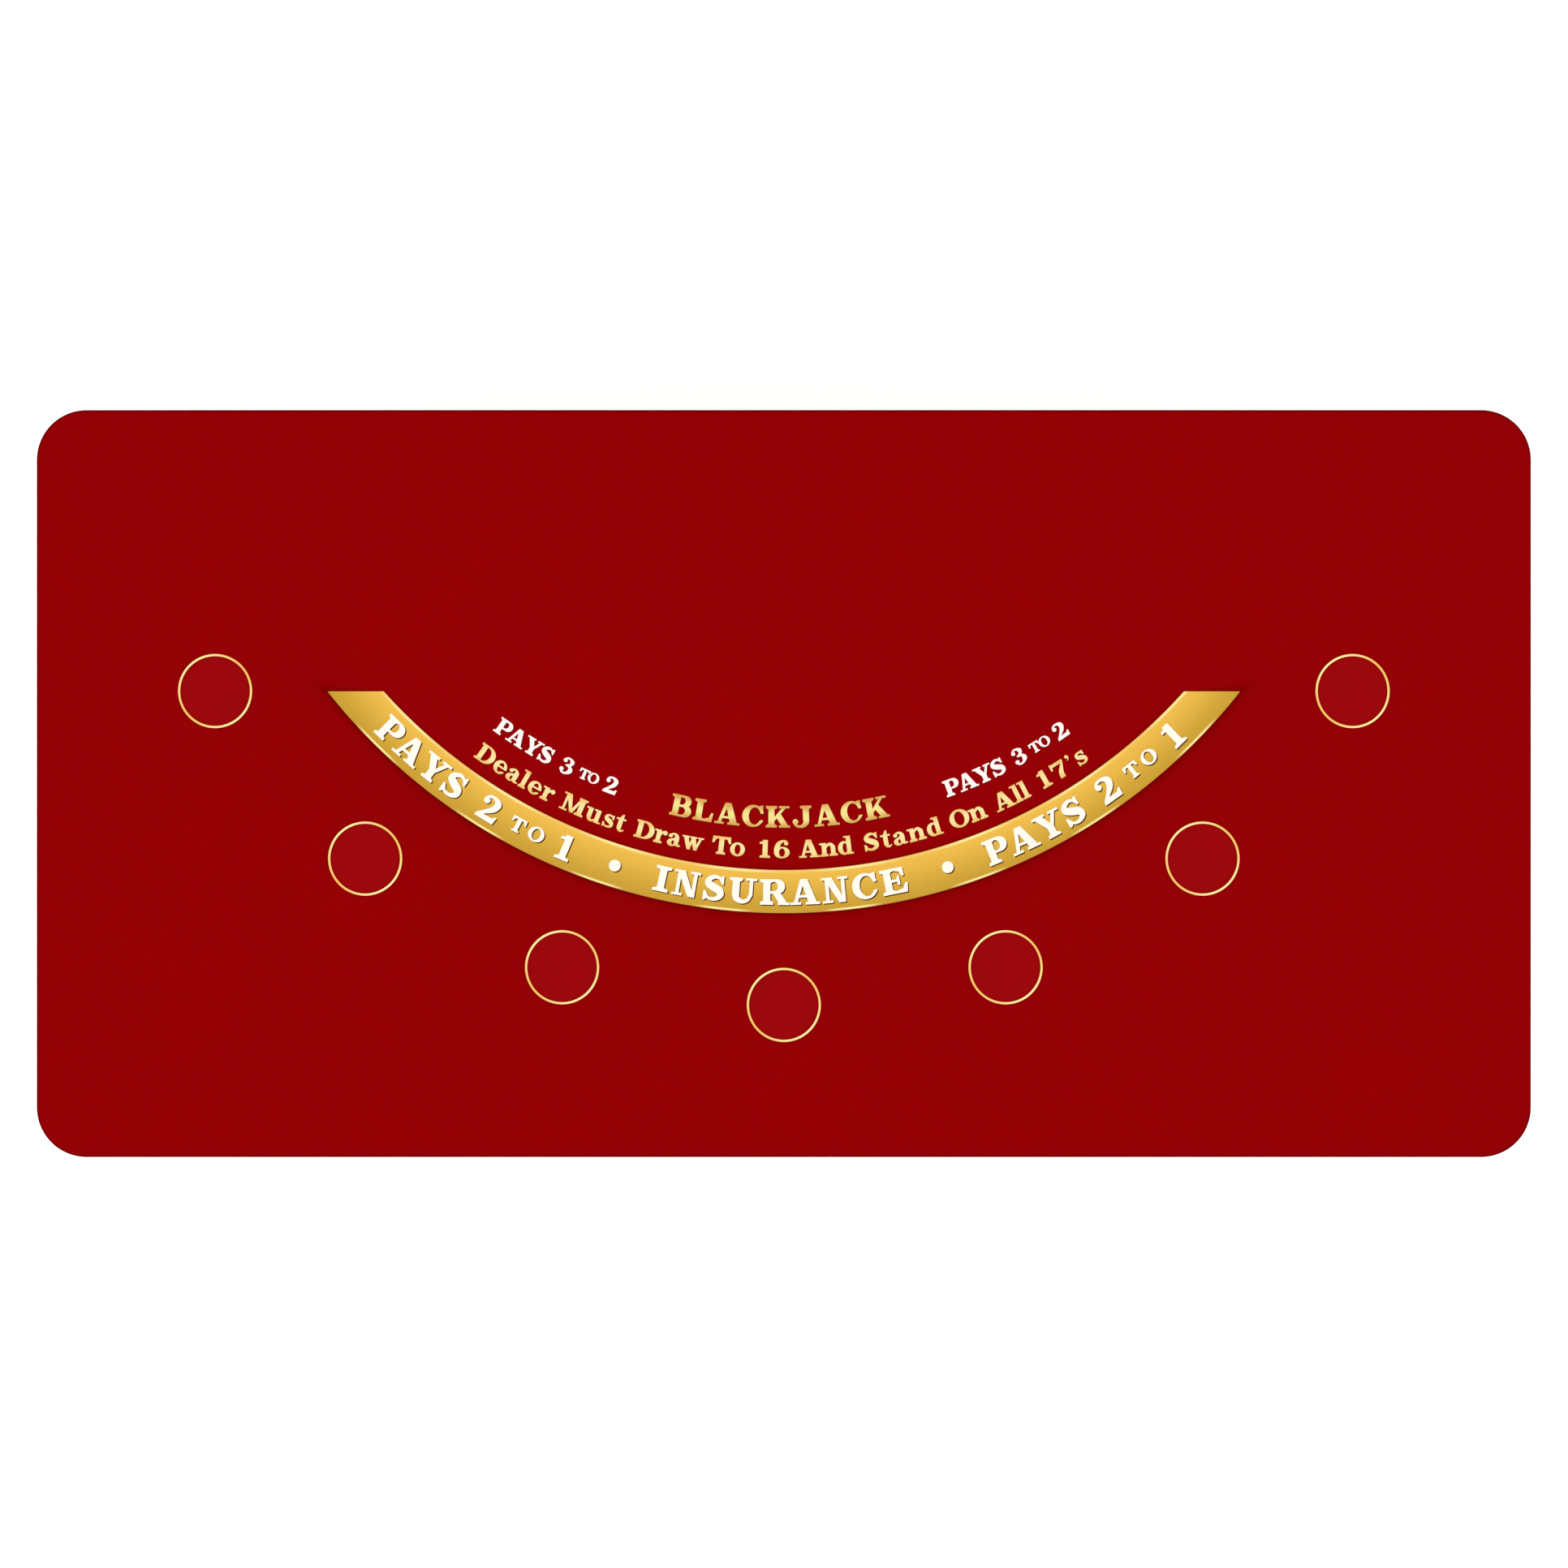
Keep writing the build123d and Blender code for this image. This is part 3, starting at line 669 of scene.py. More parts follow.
# Letterforms of this table's own slab-serif alphabet, measured in hundredths of a capital's height. Each is
# its width and the shapes that are laid down in order: ink, or a cut through what lies below it.
CAPITAL, STEM, SMALL_STEM, SLAB, REACH, LOW = 100, 28, 25, 10, 12, 75
INK, CUT = True, False


def box(x0, y0, x1, y1):
    """An upright bar."""
    return poly((x0, y0), (x1, y0), (x1, y1), (x0, y1))


def poly(*points):
    """A straight-sided shape."""
    return [(INK, list(points))]


def cut(shapes):
    """The same shapes, taken out instead of laid down."""
    return [(CUT, shape) for _, shape in shapes]


def oval(x, y, across, up, points=32):
    """A closed round shape."""
    turns = [tau * k / points for k in range(points)]
    return poly(*((x + across * cos(t), y + up * sin(t)) for t in turns))


def dee(x0, y0, x1, y1, bulge):
    """A shape that is straight on its left and round on its right."""
    y, up = (y0 + y1) / 2, (y1 - y0) / 2
    arc = [pi * (k / 16 - 0.5) for k in range(17)]
    return poly((x0, y0), *((x1 - bulge + bulge * cos(t), y + up * sin(t)) for t in arc), (x0, y1))


def brush(*stops):
    """A swelling stroke with round ends, through stops of x, y and width."""
    stops = [Vector(stop) for stop in stops]
    last, path = len(stops) - 1, []
    for k in range(last):
        here, there = stops[k], stops[k + 1]
        leave = (there - stops[max(k - 1, 0)]) / (1 if k == 0 else 2)
        arrive = (stops[min(k + 2, last)] - here) / (1 if k + 1 == last else 2)
        points = geometry.interpolate_bezier(here, here + leave / 3, there - arrive / 3, there, 8)
        path += points[: None if k + 1 == last else -1]
    sides = []
    for k, here in enumerate(path):
        way = (path[min(k + 1, len(path) - 1)] - path[max(k - 1, 0)]).xy.normalized()
        off = Vector((-way.y, way.x)) * here.z / 2
        sides.append((here.xy + off, here.xy - off))
    shapes = [(INK, [a, b, d, c]) for (a, b), (c, d) in zip(sides, sides[1:])]
    for stop in (stops[0], stops[-1]):
        shapes += oval(stop.x, stop.y, stop.z / 2, stop.z / 2, 14)
    return shapes


def stem(x, foot=True, top=True, y0=0, y1=CAPITAL, width=STEM, left=REACH, right=REACH):
    """A thick upright with bracketed slab serifs."""
    shapes = box(x, y0, x + width, y1)
    for wanted, end, inward in ((foot, y0, 1), (top, y1, -1)):
        if wanted:
            thin, bracket = end + inward * SLAB, end + inward * 1.5 * SLAB
            x0, x1 = x - left, x + width + right
            near = (x + width + 2 * bool(right), bracket), (x - 2 * bool(left), bracket)
            shapes += poly((x0, end), (x1, end), (x1, thin), *near, (x0, thin))
    return shapes


def small_stem(x, y1=LOW, left=10, right=9):
    """The thick upright of a small letter, with a foot only."""
    return stem(x, top=False, y1=y1, width=SMALL_STEM, left=left, right=right)


def slab(x0, x1, y=0):
    """A flat serif with nothing above its bracket, standing on y."""
    return box(x0, y, x1, y + SLAB)


def flag(x, y):
    """The slanting serif at the top left of a small letter."""
    return poly((x, y), (x + 23, y), (x + 23, y - 12), (x, y - 9))


# The top serif of a capital stands on this height.
TOP_SLAB = CAPITAL - SLAB
ALPHABET = {
    "A": (117, poly((42, 100), (70, 100), (108, 0), (75, 0)), poly((42, 100), (59, 100), (27, 0), (12, 0)),
          box(29, 27, 86, 37.5), slab(0, 43), slab(61, 117)),
    "B": (101, dee(13, 46, 93, 100, 28), cut(dee(41, 56, 66, 90, 15)), dee(13, 0, 101, 56, 32),
          cut(dee(41, 10, 72, 45.5, 17)), stem(13, right=0)),
    "C": (100, oval(51, 50, 51, 51.5), cut(oval(58, 50, 28, 40)),
          cut(poly((70, 29), (110, 34), (110, 66), (70, 66))),
          poly((86, 100), (95, 100), (95, 62), (86, 62), (78, 80), (68, 93))),
    "D": (112, dee(13, 0, 110, 100, 56), cut(dee(41, 10, 80, 90, 34)), stem(13, right=0)),
    "E": (103, stem(13), box(10, 89.5, 92, 100), box(10, 0, 97, 10.5), box(38, 45.5, 70, 56),
          poly((56, 100), (92, 100), (94, 66), (85, 66), (76, 83), (56, 89.5)),
          poly((58, 0), (97, 0), (103, 37), (93, 37), (83, 17), (58, 10.5)),
          poly((62, 54.5), (66, 69), (74, 69), (74, 32), (66, 32), (62, 47))),
    "I": (62, stem(17, left=17, right=17)),
    "J": (93, stem(51, foot=False, y0=30),
          brush((65, 36, 28), (63.5, 20, 25), (50, 6.5, 17), (32, 3.5, 12), (17, 10, 11), (10, 23, 10)),
          oval(15, 26, 13, 13)),
    "K": (114, stem(13), slab(62, 110, TOP_SLAB), slab(62, 114),
          poly((38, 28), (38, 45), (79, 95), (97, 95), (50, 40)),
          poly((46, 53), (65, 70), (108, 5), (76, 5))),
    "L": (93, stem(13), box(10, 0, 90, 10.5),
          poly((50, 0), (90, 0), (93, 42), (84, 42), (75, 19), (50, 10.5))),
    "M": (143, box(16, 0, 30, 100), slab(0, 46), slab(0, 42, TOP_SLAB), stem(102),
          poly((14, 100), (44, 100), (80, 2), (62, 2)), poly((62, 2), (80, 2), (114, 100), (100, 100))),
    "N": (104, box(14, 0, 28, 100), slab(0, 41), slab(0, 41, TOP_SLAB),
          poly((10, 100), (41, 100), (91, 0), (65, 0)), box(77, 0, 91, 100), slab(64, 104, TOP_SLAB)),
    "O": (112, oval(56, 50, 56, 51.5), cut(oval(56, 50, 28, 40))),
    "P": (96, dee(13, 40, 96, 100, 31), cut(dee(41, 50.5, 68, 90, 17)), stem(13)),
    "R": (117, dee(13, 43, 98, 100, 30), cut(dee(41, 53.5, 70, 90, 16)),
          poly((46, 50), (78, 50), (110, 5), (77, 5)), slab(71, 117), stem(13)),
    "S": (90, brush((78, 70, 6), (69, 86, 10), (46, 94, 15), (24, 83, 21), (20.5, 66, 27), (42, 53, 31),
                (67, 40, 30), (70.5, 21, 23), (50, 7, 15), (25, 10, 11), (9, 30, 6)),
          poly((72, 100), (80, 100), (81, 66), (74, 66), (61, 86)),
          poly((4, 0), (12, 0), (27, 13), (12, 37), (4, 37))),
    "T": (106, stem(39), box(3, 89.5, 103, 100),
          poly((3, 100), (40, 100), (40, 89.5), (21, 83), (11, 63), (0, 63)),
          poly((103, 100), (66, 100), (66, 89.5), (85, 83), (95, 63), (106, 63))),
    "U": (108, stem(13, foot=False, y0=30), box(79, 30, 93, 100), slab(64, 108, TOP_SLAB),
          brush((27, 36, 28), (32, 18, 24), (53, 7.5, 17), (75, 15, 14), (86, 36, 14))),
    "Y": (113, poly((9, 95), (42, 95), (70, 40), (42, 40)), poly((84, 95), (100, 95), (70, 40), (54, 40)),
          slab(0, 54, TOP_SLAB), slab(69, 113, TOP_SLAB), stem(42, top=False, y1=46)),
    "a": (80, brush((14, 56, 10), (24, 67, 10), (43, 68, 13), (53.5, 52, 25), (53.5, 22, 25), (61, 9, 15),
                (77, 8, 8)), oval(29, 20, 27, 21), cut(oval(36, 21, 9, 12)),
          brush((42, 43, 9), (30, 39, 9), (20, 33, 10)), oval(17, 57, 11.5, 10), box(41, 10, 66, 50)),
    "d": (87, oval(35, 37, 34, 38.5), cut(oval(41, 37, 14, 27)), box(50, 0, 75, 103), flag(36, 103),
          slab(50, 87)),
    "e": (78, oval(39, 37, 38.5, 38.5), cut(oval(42, 37, 16.5, 27.5)),
          cut(poly((50, 18), (90, 22), (90, 35), (50, 35))), box(10, 34.5, 76.5, 44)),
    "l": (46, small_stem(10, y1=103), flag(-3, 103)),
    "n": (97, small_stem(10), flag(-3, LOW), brush((33, 50, 9), (43, 63, 14), (60, 66, 18), (72.5, 50, 25)),
          small_stem(60, y1=52, left=9, right=12)),
    "o": (83, oval(41.5, 37, 41.5, 39), cut(oval(41.5, 37, 16.5, 28))),
    "r": (70, small_stem(10, right=13), flag(-3, LOW), brush((33, 48, 10), (41, 61, 12), (56, 69, 13)),
          oval(57.5, 62, 12, 12)),
    "s": (68, brush((59, 53, 6), (50, 66, 10), (33, 70, 11), (18, 61, 17), (21, 47, 22), (38, 39.5, 25),
                (54, 28, 22), (54, 13, 16), (37, 5, 11), (20, 8, 10), (8, 22, 6)),
          poly((54, LOW), (61, LOW), (62, 50), (55, 50), (45, 66)),
          poly((4, 0), (11, 0), (21, 10), (11, 27), (4, 27))),
    "t": (57, box(14, 16, 39, LOW), box(0, 65, 55, LOW), poly((14, 72), (39, 72), (39, 98), (30, 98)),
          brush((26.5, 24, 25), (31, 11, 19), (43, 5.5, 11), (54, 13, 7))),
    "u": (96, box(11, 20, 36, LOW), flag(-2, LOW), box(58, 0, 83, LOW), flag(45, LOW), slab(70, 96),
          brush((23.5, 27, 25), (29, 11, 19), (45, 6, 13), (62, 17, 10))),
    "w": (122, poly((8, 70), (35, 70), (54, 0), (34, 0)), poly((34, 0), (50, 0), (68, 70), (56, 70)),
          poly((48, 70), (75, 70), (92, 0), (72, 0)), poly((72, 0), (88, 0), (112, 70), (99, 70)),
          box(0, 66, 42, LOW), box(46, 66, 84, LOW), box(89, 66, 122, LOW)),
    "1": (66, stem(20, top=False, left=16, right=15),
          poly((3, 88), (22, 92), (32, 100), (48, 100), (48, 84), (24, 78), (3, 77))),
    "2": (88, oval(19, 73, 13, 11.5), brush((10, 78, 9), (22, 92, 12), (45, 94.5, 14), (65, 80, 27),
                (60, 56, 25), (36, 32, 16), (12, 12, 12)),
          poly((4, 0), (84, 0), (88, 31), (79, 31), (72, 21), (22, 20), (4, 10))),
    "3": (86, oval(18, 77, 12.5, 11),
          brush((10, 80, 9), (24, 93, 11), (44, 94.5, 13), (62, 80, 25), (54, 60, 15), (34, 53, 10)),
          brush((34, 53, 10), (58, 49, 16), (69, 29, 29), (52, 8, 15), (28, 4, 11), (10, 17, 9)),
          oval(17, 22, 13, 12)),
    "6": (91, brush((78, 84, 8), (68, 94, 10), (50, 94, 14), (28, 78, 24), (18, 50, 29), (19, 30, 27)),
          oval(47, 31, 44, 32.5), cut(oval(48, 31, 17, 23.5)), oval(71, 82, 12, 11)),
    "7": (88,
          poly((5, 100), (13, 100), (17, 96), (86, 96), (88, 86), (76, 78), (17, 78), (13, 62), (4, 62)),
          brush((82, 84, 8), (64, 56, 19), (49, 30, 27), (45, 0, 30)), cut(box(0, -30, 100, 0))),
    "'": (22, oval(10, 90, 10, 10), brush((15, 88, 10), (15, 78, 7), (5, 68, 3))),
    "•": (46, oval(23, 51.5, 23, 23)),
}


# Shapes that are smaller than this are left out, and corners that are closer than this become one.
LEAST_AREA, NEAREST = 0.1, 0.001


def winding(shape):
    """Twice the signed area of a shape: positive when its corners go anticlockwise."""
    return sum(a[0] * b[1] - b[0] * a[1] for a, b in zip(shape, [*shape[1:], shape[0]]))


def letterform(letter):
    """One letter of the alphabet as a flat mesh, its shapes joined and its cuts taken out."""
    points, faces, inked = [], [], []
    for ink, shape in sum(ALPHABET[letter][1:], []):
        if abs(winding(shape)) > LEAST_AREA:
            faces.append(range(len(points), len(points) + len(shape)))
            points += [Vector(point) for point in (shape if winding(shape) > 0 else shape[::-1])]
            inked.append(ink)
    spots, _, pieces, _, _, sources = geometry.delaunay_2d_cdt(points, [], faces, 1, NEAREST)
    mesh = bmesh.new()
    verts = [mesh.verts.new((*spot, 0)) for spot in spots]
    for piece, source in zip(pieces, sources):
        if source and inked[max(source)]:
            mesh.faces.new([verts[k] for k in piece])
    bmesh.ops.delete(mesh, geom=[vert for vert in mesh.verts if not vert.link_faces], context="VERTS")
    bmesh.ops.dissolve_limit(mesh, angle_limit=radians(1), verts=mesh.verts, edges=mesh.edges)
    return mesh_data(mesh, f"letter_{ord(letter)}")


# The lines of lettering. Each has the radius of its letters' feet and the height of its capitals, in mm, and
# its words with the angles, in degrees, where they start and end along the arc. A word in small capitals has
# its own feet and height, and a word may be set in parts where its letters stand closer.
SMALL_CAPS = (682.8, 18.1)
BAND_WORDS = (689.1, 30.8), (
    ("PAYS", -45.88, -34.88), ("2", -32.95, -30.5), ("TO", -29.2, -25.4, SMALL_CAPS), ("1", -23.9, -22.1),
    ("•", -18.25, -16.95), ("INSUR", -13.37, 0.61), ("A", 0.53, 3.76), ("N", 3.84, 6.68),
    ("CE", 7.01, 12.71), ("•", 16.35, 17.75), ("PAYS", 21.1, 32.3), ("2", 34.15, 36.45),
    ("TO", 37.7, 41.55, SMALL_CAPS), ("1", 43.15, 44.95),
)
SMALL_PAYOUT = (589.9, 12.7)
PAYOUT_WORDS = (593.3, 20.0), (
    ("PAYS", -36.23, -28.48), ("3", -27.38, -25.68), ("TO", -24.98, -22.43, SMALL_PAYOUT),
    ("2", -21.78, -19.98), ("PAYS", 19.35, 27.1), ("3", 28.15, 29.95), ("TO", 30.55, 33.2, SMALL_PAYOUT),
    ("2", 33.85, 35.65),
)
TITLE_WORDS = (596.0, 25.9), (("BLACKJACK", -13.50, 12.42),)
RULE_WORDS = (632.7, 21.5), (
    ("Dealer", -36.25, -26.4), ("Must", -25.4, -17.85), ("Draw", -16.7, -8.95), ("To", -8.0, -4.3),
    ("16", -2.75, 0.65), ("And", 1.65, 7.7), ("Stand", 8.85, 17.75), ("On", 18.75, 22.95),
    ("All", 24.0, 28.2), ("17's", 29.6, 35.6),
)


def build_line(name, words, face, shade, ink, forms):
    """One line of lettering on its arc, and its printed shadow below it and to the right.

    The face is a finish and its slot, and the slot is not used. The shade is a finish with how far it is
    moved, as a share of the usual offset, and how many layers of ink lie below it.
    """
    mesh = bmesh.new()
    usual, words = words
    for word, start, end, *own in words:
        feet, height = (length * MM for length in (own[0] if own else usual))
        middle, unit = feet - height / 2, height / CAPITAL
        start, end = radians(start) * middle, radians(end) * middle
        natural = sum(ALPHABET[letter][0] for letter in word) * unit
        gap = (end - start - natural) / (len(word) - 1) if len(word) > 1 else 0
        along = start if len(word) > 1 else (start + end - natural) / 2
        for letter in word:
            width = ALPHABET[letter][0] * unit
            if letter not in forms:
                forms[letter] = letterform(letter)
            before = len(mesh.verts)
            mesh.from_mesh(forms[letter])
            mesh.verts.ensure_lookup_table()
            turn = Matrix.Rotation((along + width / 2) / middle, 4, "Z")
            centred = Matrix.Translation((-width / 2, -feet, 0)) @ Matrix.Scale(unit, 4)
            place = Matrix.Translation((0, ARC_Y, SURFACE)) @ turn @ centred
            bmesh.ops.transform(mesh, matrix=place, verts=mesh.verts[before:])
            along += width + gap
    shade_finish, share, layers = shade
    offset = ink.shadow * share
    shadow = mesh.copy()
    bmesh.ops.translate(shadow, verts=shadow.verts, vec=(offset, -offset, layers * ink.lift))
    thicken(shadow, ink.lift)
    finished(shadow, f"{name}_shadow", shade_finish, "tabletop")
    bmesh.ops.translate(mesh, verts=mesh.verts, vec=(0, 0, (layers + 1) * ink.lift))
    thicken(mesh, ink.lift)
    finished(mesh, name, face[0], "tabletop")


# ============================== the hardware ==============================


def separate_solids(node):
    """The box of each separate solid in a frame node, in the node's own order of places."""
    mesh = bmesh.new()
    mesh.from_mesh(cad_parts[node].data)
    bmesh.ops.remove_doubles(mesh, verts=mesh.verts, dist=1e-6)
    waiting, boxes = set(mesh.verts), []
    while waiting:
        island, front = [], [waiting.pop()]
        while front:
            vert = front.pop()
            island.append(vert.co.copy())
            for edge in vert.link_edges:
                other = edge.other_vert(vert)
                if other in waiting:
                    waiting.remove(other)
                    front.append(other)
        low = Vector([min(spot[k] for spot in island) for k in range(3)])
        high = Vector([max(spot[k] for spot in island) for k in range(3)])
        boxes.append((low, high))
    mesh.free()
    return sorted(boxes, key=lambda solid: tuple(solid[0]))


# The screws: the radius of the head's flat, of the head and of the neck. Then half the grid that the recess
# is cut from, how far from an axis a face may lie to be in one of its arms, and their reach and depth. Last,
# the steps of radius and height round the head, and how far the tip stops short of the plain solid's.
FLAT, HEAD, NECK = 3.0 * MM, 4.5 * MM, 2.4 * MM
GRID, ARM, ARM_REACH, RECESS = 2.5 * MM, 0.2 * MM, 1.6 * MM, 1.6 * MM
HEAD_STEPS = ((4.0 * MM, 0.7 * MM), (HEAD, 1.8 * MM), (HEAD, 3.0 * MM), (NECK, 3.0 * MM))
TIP_SHORT = 1.0 * MM


def build_screws(node, name, material):
    """Pan-head screws with a cross recess, standing for the plain ones of a frame node."""
    mesh = bmesh.new()
    for low, high in separate_solids(node):
        centre = Vector(((low.x + high.x) / 2, (low.y + high.y) / 2, low.z))
        place = Matrix.Translation(centre)
        grid = bmesh.ops.create_grid(mesh, x_segments=5, y_segments=5, size=GRID, matrix=place)["verts"]
        for vert in [vert for vert in grid if vert.is_boundary]:
            vert.co = centre + (vert.co - centre).normalized() * FLAT
        cross = []
        for face in mesh.faces:
            spot = face.calc_center_median() - centre
            if min(abs(spot.x), abs(spot.y)) < ARM and spot.length < ARM_REACH:
                cross.append(face)
        pushed = bmesh.ops.extrude_face_region(mesh, geom=cross)["geom"]
        bmesh.ops.translate(mesh, verts=only(BMVert, pushed), vec=(0, 0, RECESS))
        bmesh.ops.delete(mesh, geom=cross, context="FACES_ONLY")
        edges = [edge for edge in mesh.edges if edge.is_boundary]
        edges = [edge for edge in edges if (edge.verts[0].co - centre).length < HEAD]
        tip = (NECK, high.z - low.z - TIP_SHORT)
        for radius, lift in (*HEAD_STEPS, tip):
            made = bmesh.ops.extrude_edge_only(mesh, edges=edges)["geom"]
            for vert in only(BMVert, made):
                way = (vert.co.xy - centre.xy).normalized()
                vert.co = (*(centre.xy + way * radius), centre.z + lift)
            edges = only(BMEdge, made)
        bmesh.ops.edgeloop_fill(mesh, edges=edges)
    piece = finished(mesh, name, material, "tabletop")
    smooth(piece, 35)
    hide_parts(node)


# Ripples round half a weld, how much of its height they add, how far its seat lies inside the tube's end, and
# the parts of its thickness that its middle lies in from the seat and above the tube.
RIPPLES, RIPPLE_SHARE = 12, 0.22
SEAT_INSIDE, BEAD_IN, BEAD_ABOVE = 0.2 * MM, 0.25, 0.12


def build_welds(end, look, material):
    """A rippled weld bead where each cross tube meets a leg."""
    mesh = bmesh.new()
    for level in ("upper", "lower"):
        low, high = corners(f"{end}_{level}_stretcher")
        centre, radius = (low + high) / 2, (high.z - low.z) / 2
        for side in (-1, 1):
            seat = Vector((centre.x, side * (high.y - SEAT_INSIDE), centre.z))
            start = seat + Vector((0, -side * look.bead * BEAD_IN, radius + look.bead * BEAD_ABOVE))
            place = Matrix.Translation(start) @ Matrix.Rotation(pi / 2, 4, "Y")
            before = set(mesh.verts)
            bead = bmesh.ops.create_circle(mesh, segments=10, radius=look.bead / 2, matrix=place)["verts"]
            edges = list({edge for vert in bead for edge in vert.link_edges})
            circle = {"cent": seat, "axis": (0, 1, 0), "angle": tau, "steps": 72}
            bmesh.ops.spin(mesh, geom=bead + edges, use_merge=True, **circle)
            for vert in set(mesh.verts) - before:
                spot = vert.co - seat
                away = Vector((spot.x, 0, spot.z))
                ripple = abs(sin(RIPPLES * atan2(spot.z, spot.x)))
                vert.co += away.normalized() * (away.length - radius) * RIPPLE_SHARE * ripple
    piece = finished(mesh, f"{end}_weld_beads", material, f"{end}_legs")
    smooth(piece, 60)


# How far the flat of a foot's tread lies inside its sides, and the steps outwards and upwards, in mm, from
# there: round the tread's edge, over the flare, up past three grip rings, and over the rim. The lip then turns
# in by a little less than the wall, to just under the leg's surface, and down by its depth.
TREAD = 4.5 * MM
LIP_SHORT, LIP_DEPTH = 1.7 * MM, 3.0 * MM
FOOT_STEPS = (
    (2.9, 0), (1.1, 0.5), (0.5, 1.2), (0, 3.6), (-0.9, 0.9), (0, 2.4), (0.7, 0.6), (0, 2.2), (-0.7, 0.6),
    (0, 1.4), (0.6, 0.6), (0, 2.2), (-0.6, 0.6), (0, 1.4), (0.5, 0.6), (0, 9.6), (-0.8, 1.2), (-0.7, 0.4),
)


def build_foot(end, side, material):
    """A moulded rubber cap with a flared tread, grip rings and a turned-in lip."""
    node = f"{end}_{side}_foot"
    low, high = corners(node)
    leg_low, leg_high = corners(f"{end}_{side}_leg")
    centre = ((low.x + high.x) / 2, (low.y + high.y) / 2)
    size, radius = high.x - low.x, 6 * MM
    wall = (size - (leg_high.x - leg_low.x)) / 2
    mesh = bmesh.new()
    rounded_face(mesh, (size - 2 * TREAD, size - 2 * TREAD), radius - TREAD + 1 * MM, low.z, 8, centre)
    steps = [(outward * MM, upward * MM) for outward, upward in FOOT_STEPS]
    lip = [(LIP_SHORT - wall, 0), (0, -LIP_DEPTH)]
    edges = skirt(mesh, (size / 2 - radius, size / 2 - radius), steps + lip, centre)
    bmesh.ops.edgeloop_fill(mesh, edges=edges)
    piece = finished(mesh, f"{end}_{side}_rubber_cap", material, f"{end}_legs")
    smooth(piece, 35)
    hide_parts(node)


# ================================ operators ================================


class GAMETABLE_OT_cloth(bpy.types.Operator):
    """Build the stretched layout cloth and the foam beneath it"""

    bl_idname = "gametable.cloth"
    bl_label = "Cloth and foam"

    def execute(self, context):
        look = context.scene.gametable_cloth
        build_foam(look)
        build_cloth(look)
        return {"FINISHED"}


class GAMETABLE_OT_gold_print(bpy.types.Operator):
    """Print the insurance band and the betting circles"""

    bl_idname = "gametable.gold_print"
    bl_label = "Band and betting circles"

    def execute(self, context):
        look, ink = context.scene.gametable_cloth, context.scene.gametable_print
        build_band(ink, look)
        build_rings(ink, look)
        return {"FINISHED"}


class GAMETABLE_OT_lettering(bpy.types.Operator):
    """Print the lines of lettering and their shadows"""

    bl_idname = "gametable.lettering"
    bl_label = "Lettering"

    def execute(self, context):
        look, ink = context.scene.gametable_cloth, context.scene.gametable_print
        forms = {}
        on_gold = (plain_ink("shadow_ink_on_gold", ink.gold_shadow, look), 1.0, 1)
        on_red = (plain_ink("shadow_ink_on_red", ink.red_shadow, look), 0.8, 0)
        white = plain_ink("warm_white_ink", ink.white, look)
        cool = plain_ink("cool_white_ink", ink.cool_white, look)
        title = letter_gold("gold_title_ink", ink.title_deep, ink.title_pale, look, TITLE_WORDS[0])
        rules = letter_gold("gold_rules_ink", ink.rule_deep, ink.rule_pale, look, RULE_WORDS[0], 1.25)
        build_line("insurance_lettering", BAND_WORDS, (white, "white_print"), on_gold, ink, forms)
        build_line("payout_lettering", PAYOUT_WORDS, (cool, "white_print"), on_red, ink, forms)
        build_line("title_lettering", TITLE_WORDS, (title, "gold_print"), on_red, ink, forms)
        build_line("rules_lettering", RULE_WORDS, (rules, "gold_print"), on_red, ink, forms)
        return {"FINISHED"}


class GAMETABLE_OT_woodwork(bpy.types.Operator):
    """Finish the board, the apron rails, the corner blocks and the battens"""

    bl_idname = "gametable.woodwork"
    bl_label = "Woodwork"

    def execute(self, context):
        look = context.scene.gametable_wood
        for name, along, rails in (("long", 0, ("front", "back")), ("end", 1, ("left", "right"))):
            stain = timber(f"stained_apron_{name}", look.stain_dark, look.stain_light, along, 9 * MM, 0.15)
            paint(stain, *(f"{rail}_apron_rail" for rail in rails))
        birch = timber("birch_plywood", look.birch_dark, look.birch_light, 0, 34 * MM, 0.1, 0.25)
        paint(birch, "top_board")
        pine = timber("pine", look.pine_dark, look.pine_light, 1, 7 * MM, 0.0, 0.15)
        paint(pine, "cross_battens", "corner_blocks")
        return {"FINISHED"}


class GAMETABLE_OT_fasteners(bpy.types.Operator):
    """Build the screws, and finish the bolts, nuts, washers, spacers and staples"""

    bl_idname = "gametable.fasteners"
    bl_label = "Fasteners"

    def execute(self, context):
        look = context.scene.gametable_hardware
        zinc = plated("bright_zinc", look.zinc, 0.3)
        for node in ("rail_screws", "batten_screws", "bracket_screws"):
            build_screws(node, f"cross_head_{node}", zinc)
        paint(zinc, "cloth_staples", "pivot_bolts", "pivot_nuts")
        paint(zinc, *(f"{end}_lock_{part}" for end in ENDS for part in ("bolts", "washers")))
        nylon = moulded("black_nylon", look.knob, 0.5, 900, 0.05 * MM)
        paint(nylon, "pivot_spacers", *(f"{end}_leg_plugs" for end in ENDS))
        return {"FINISHED"}


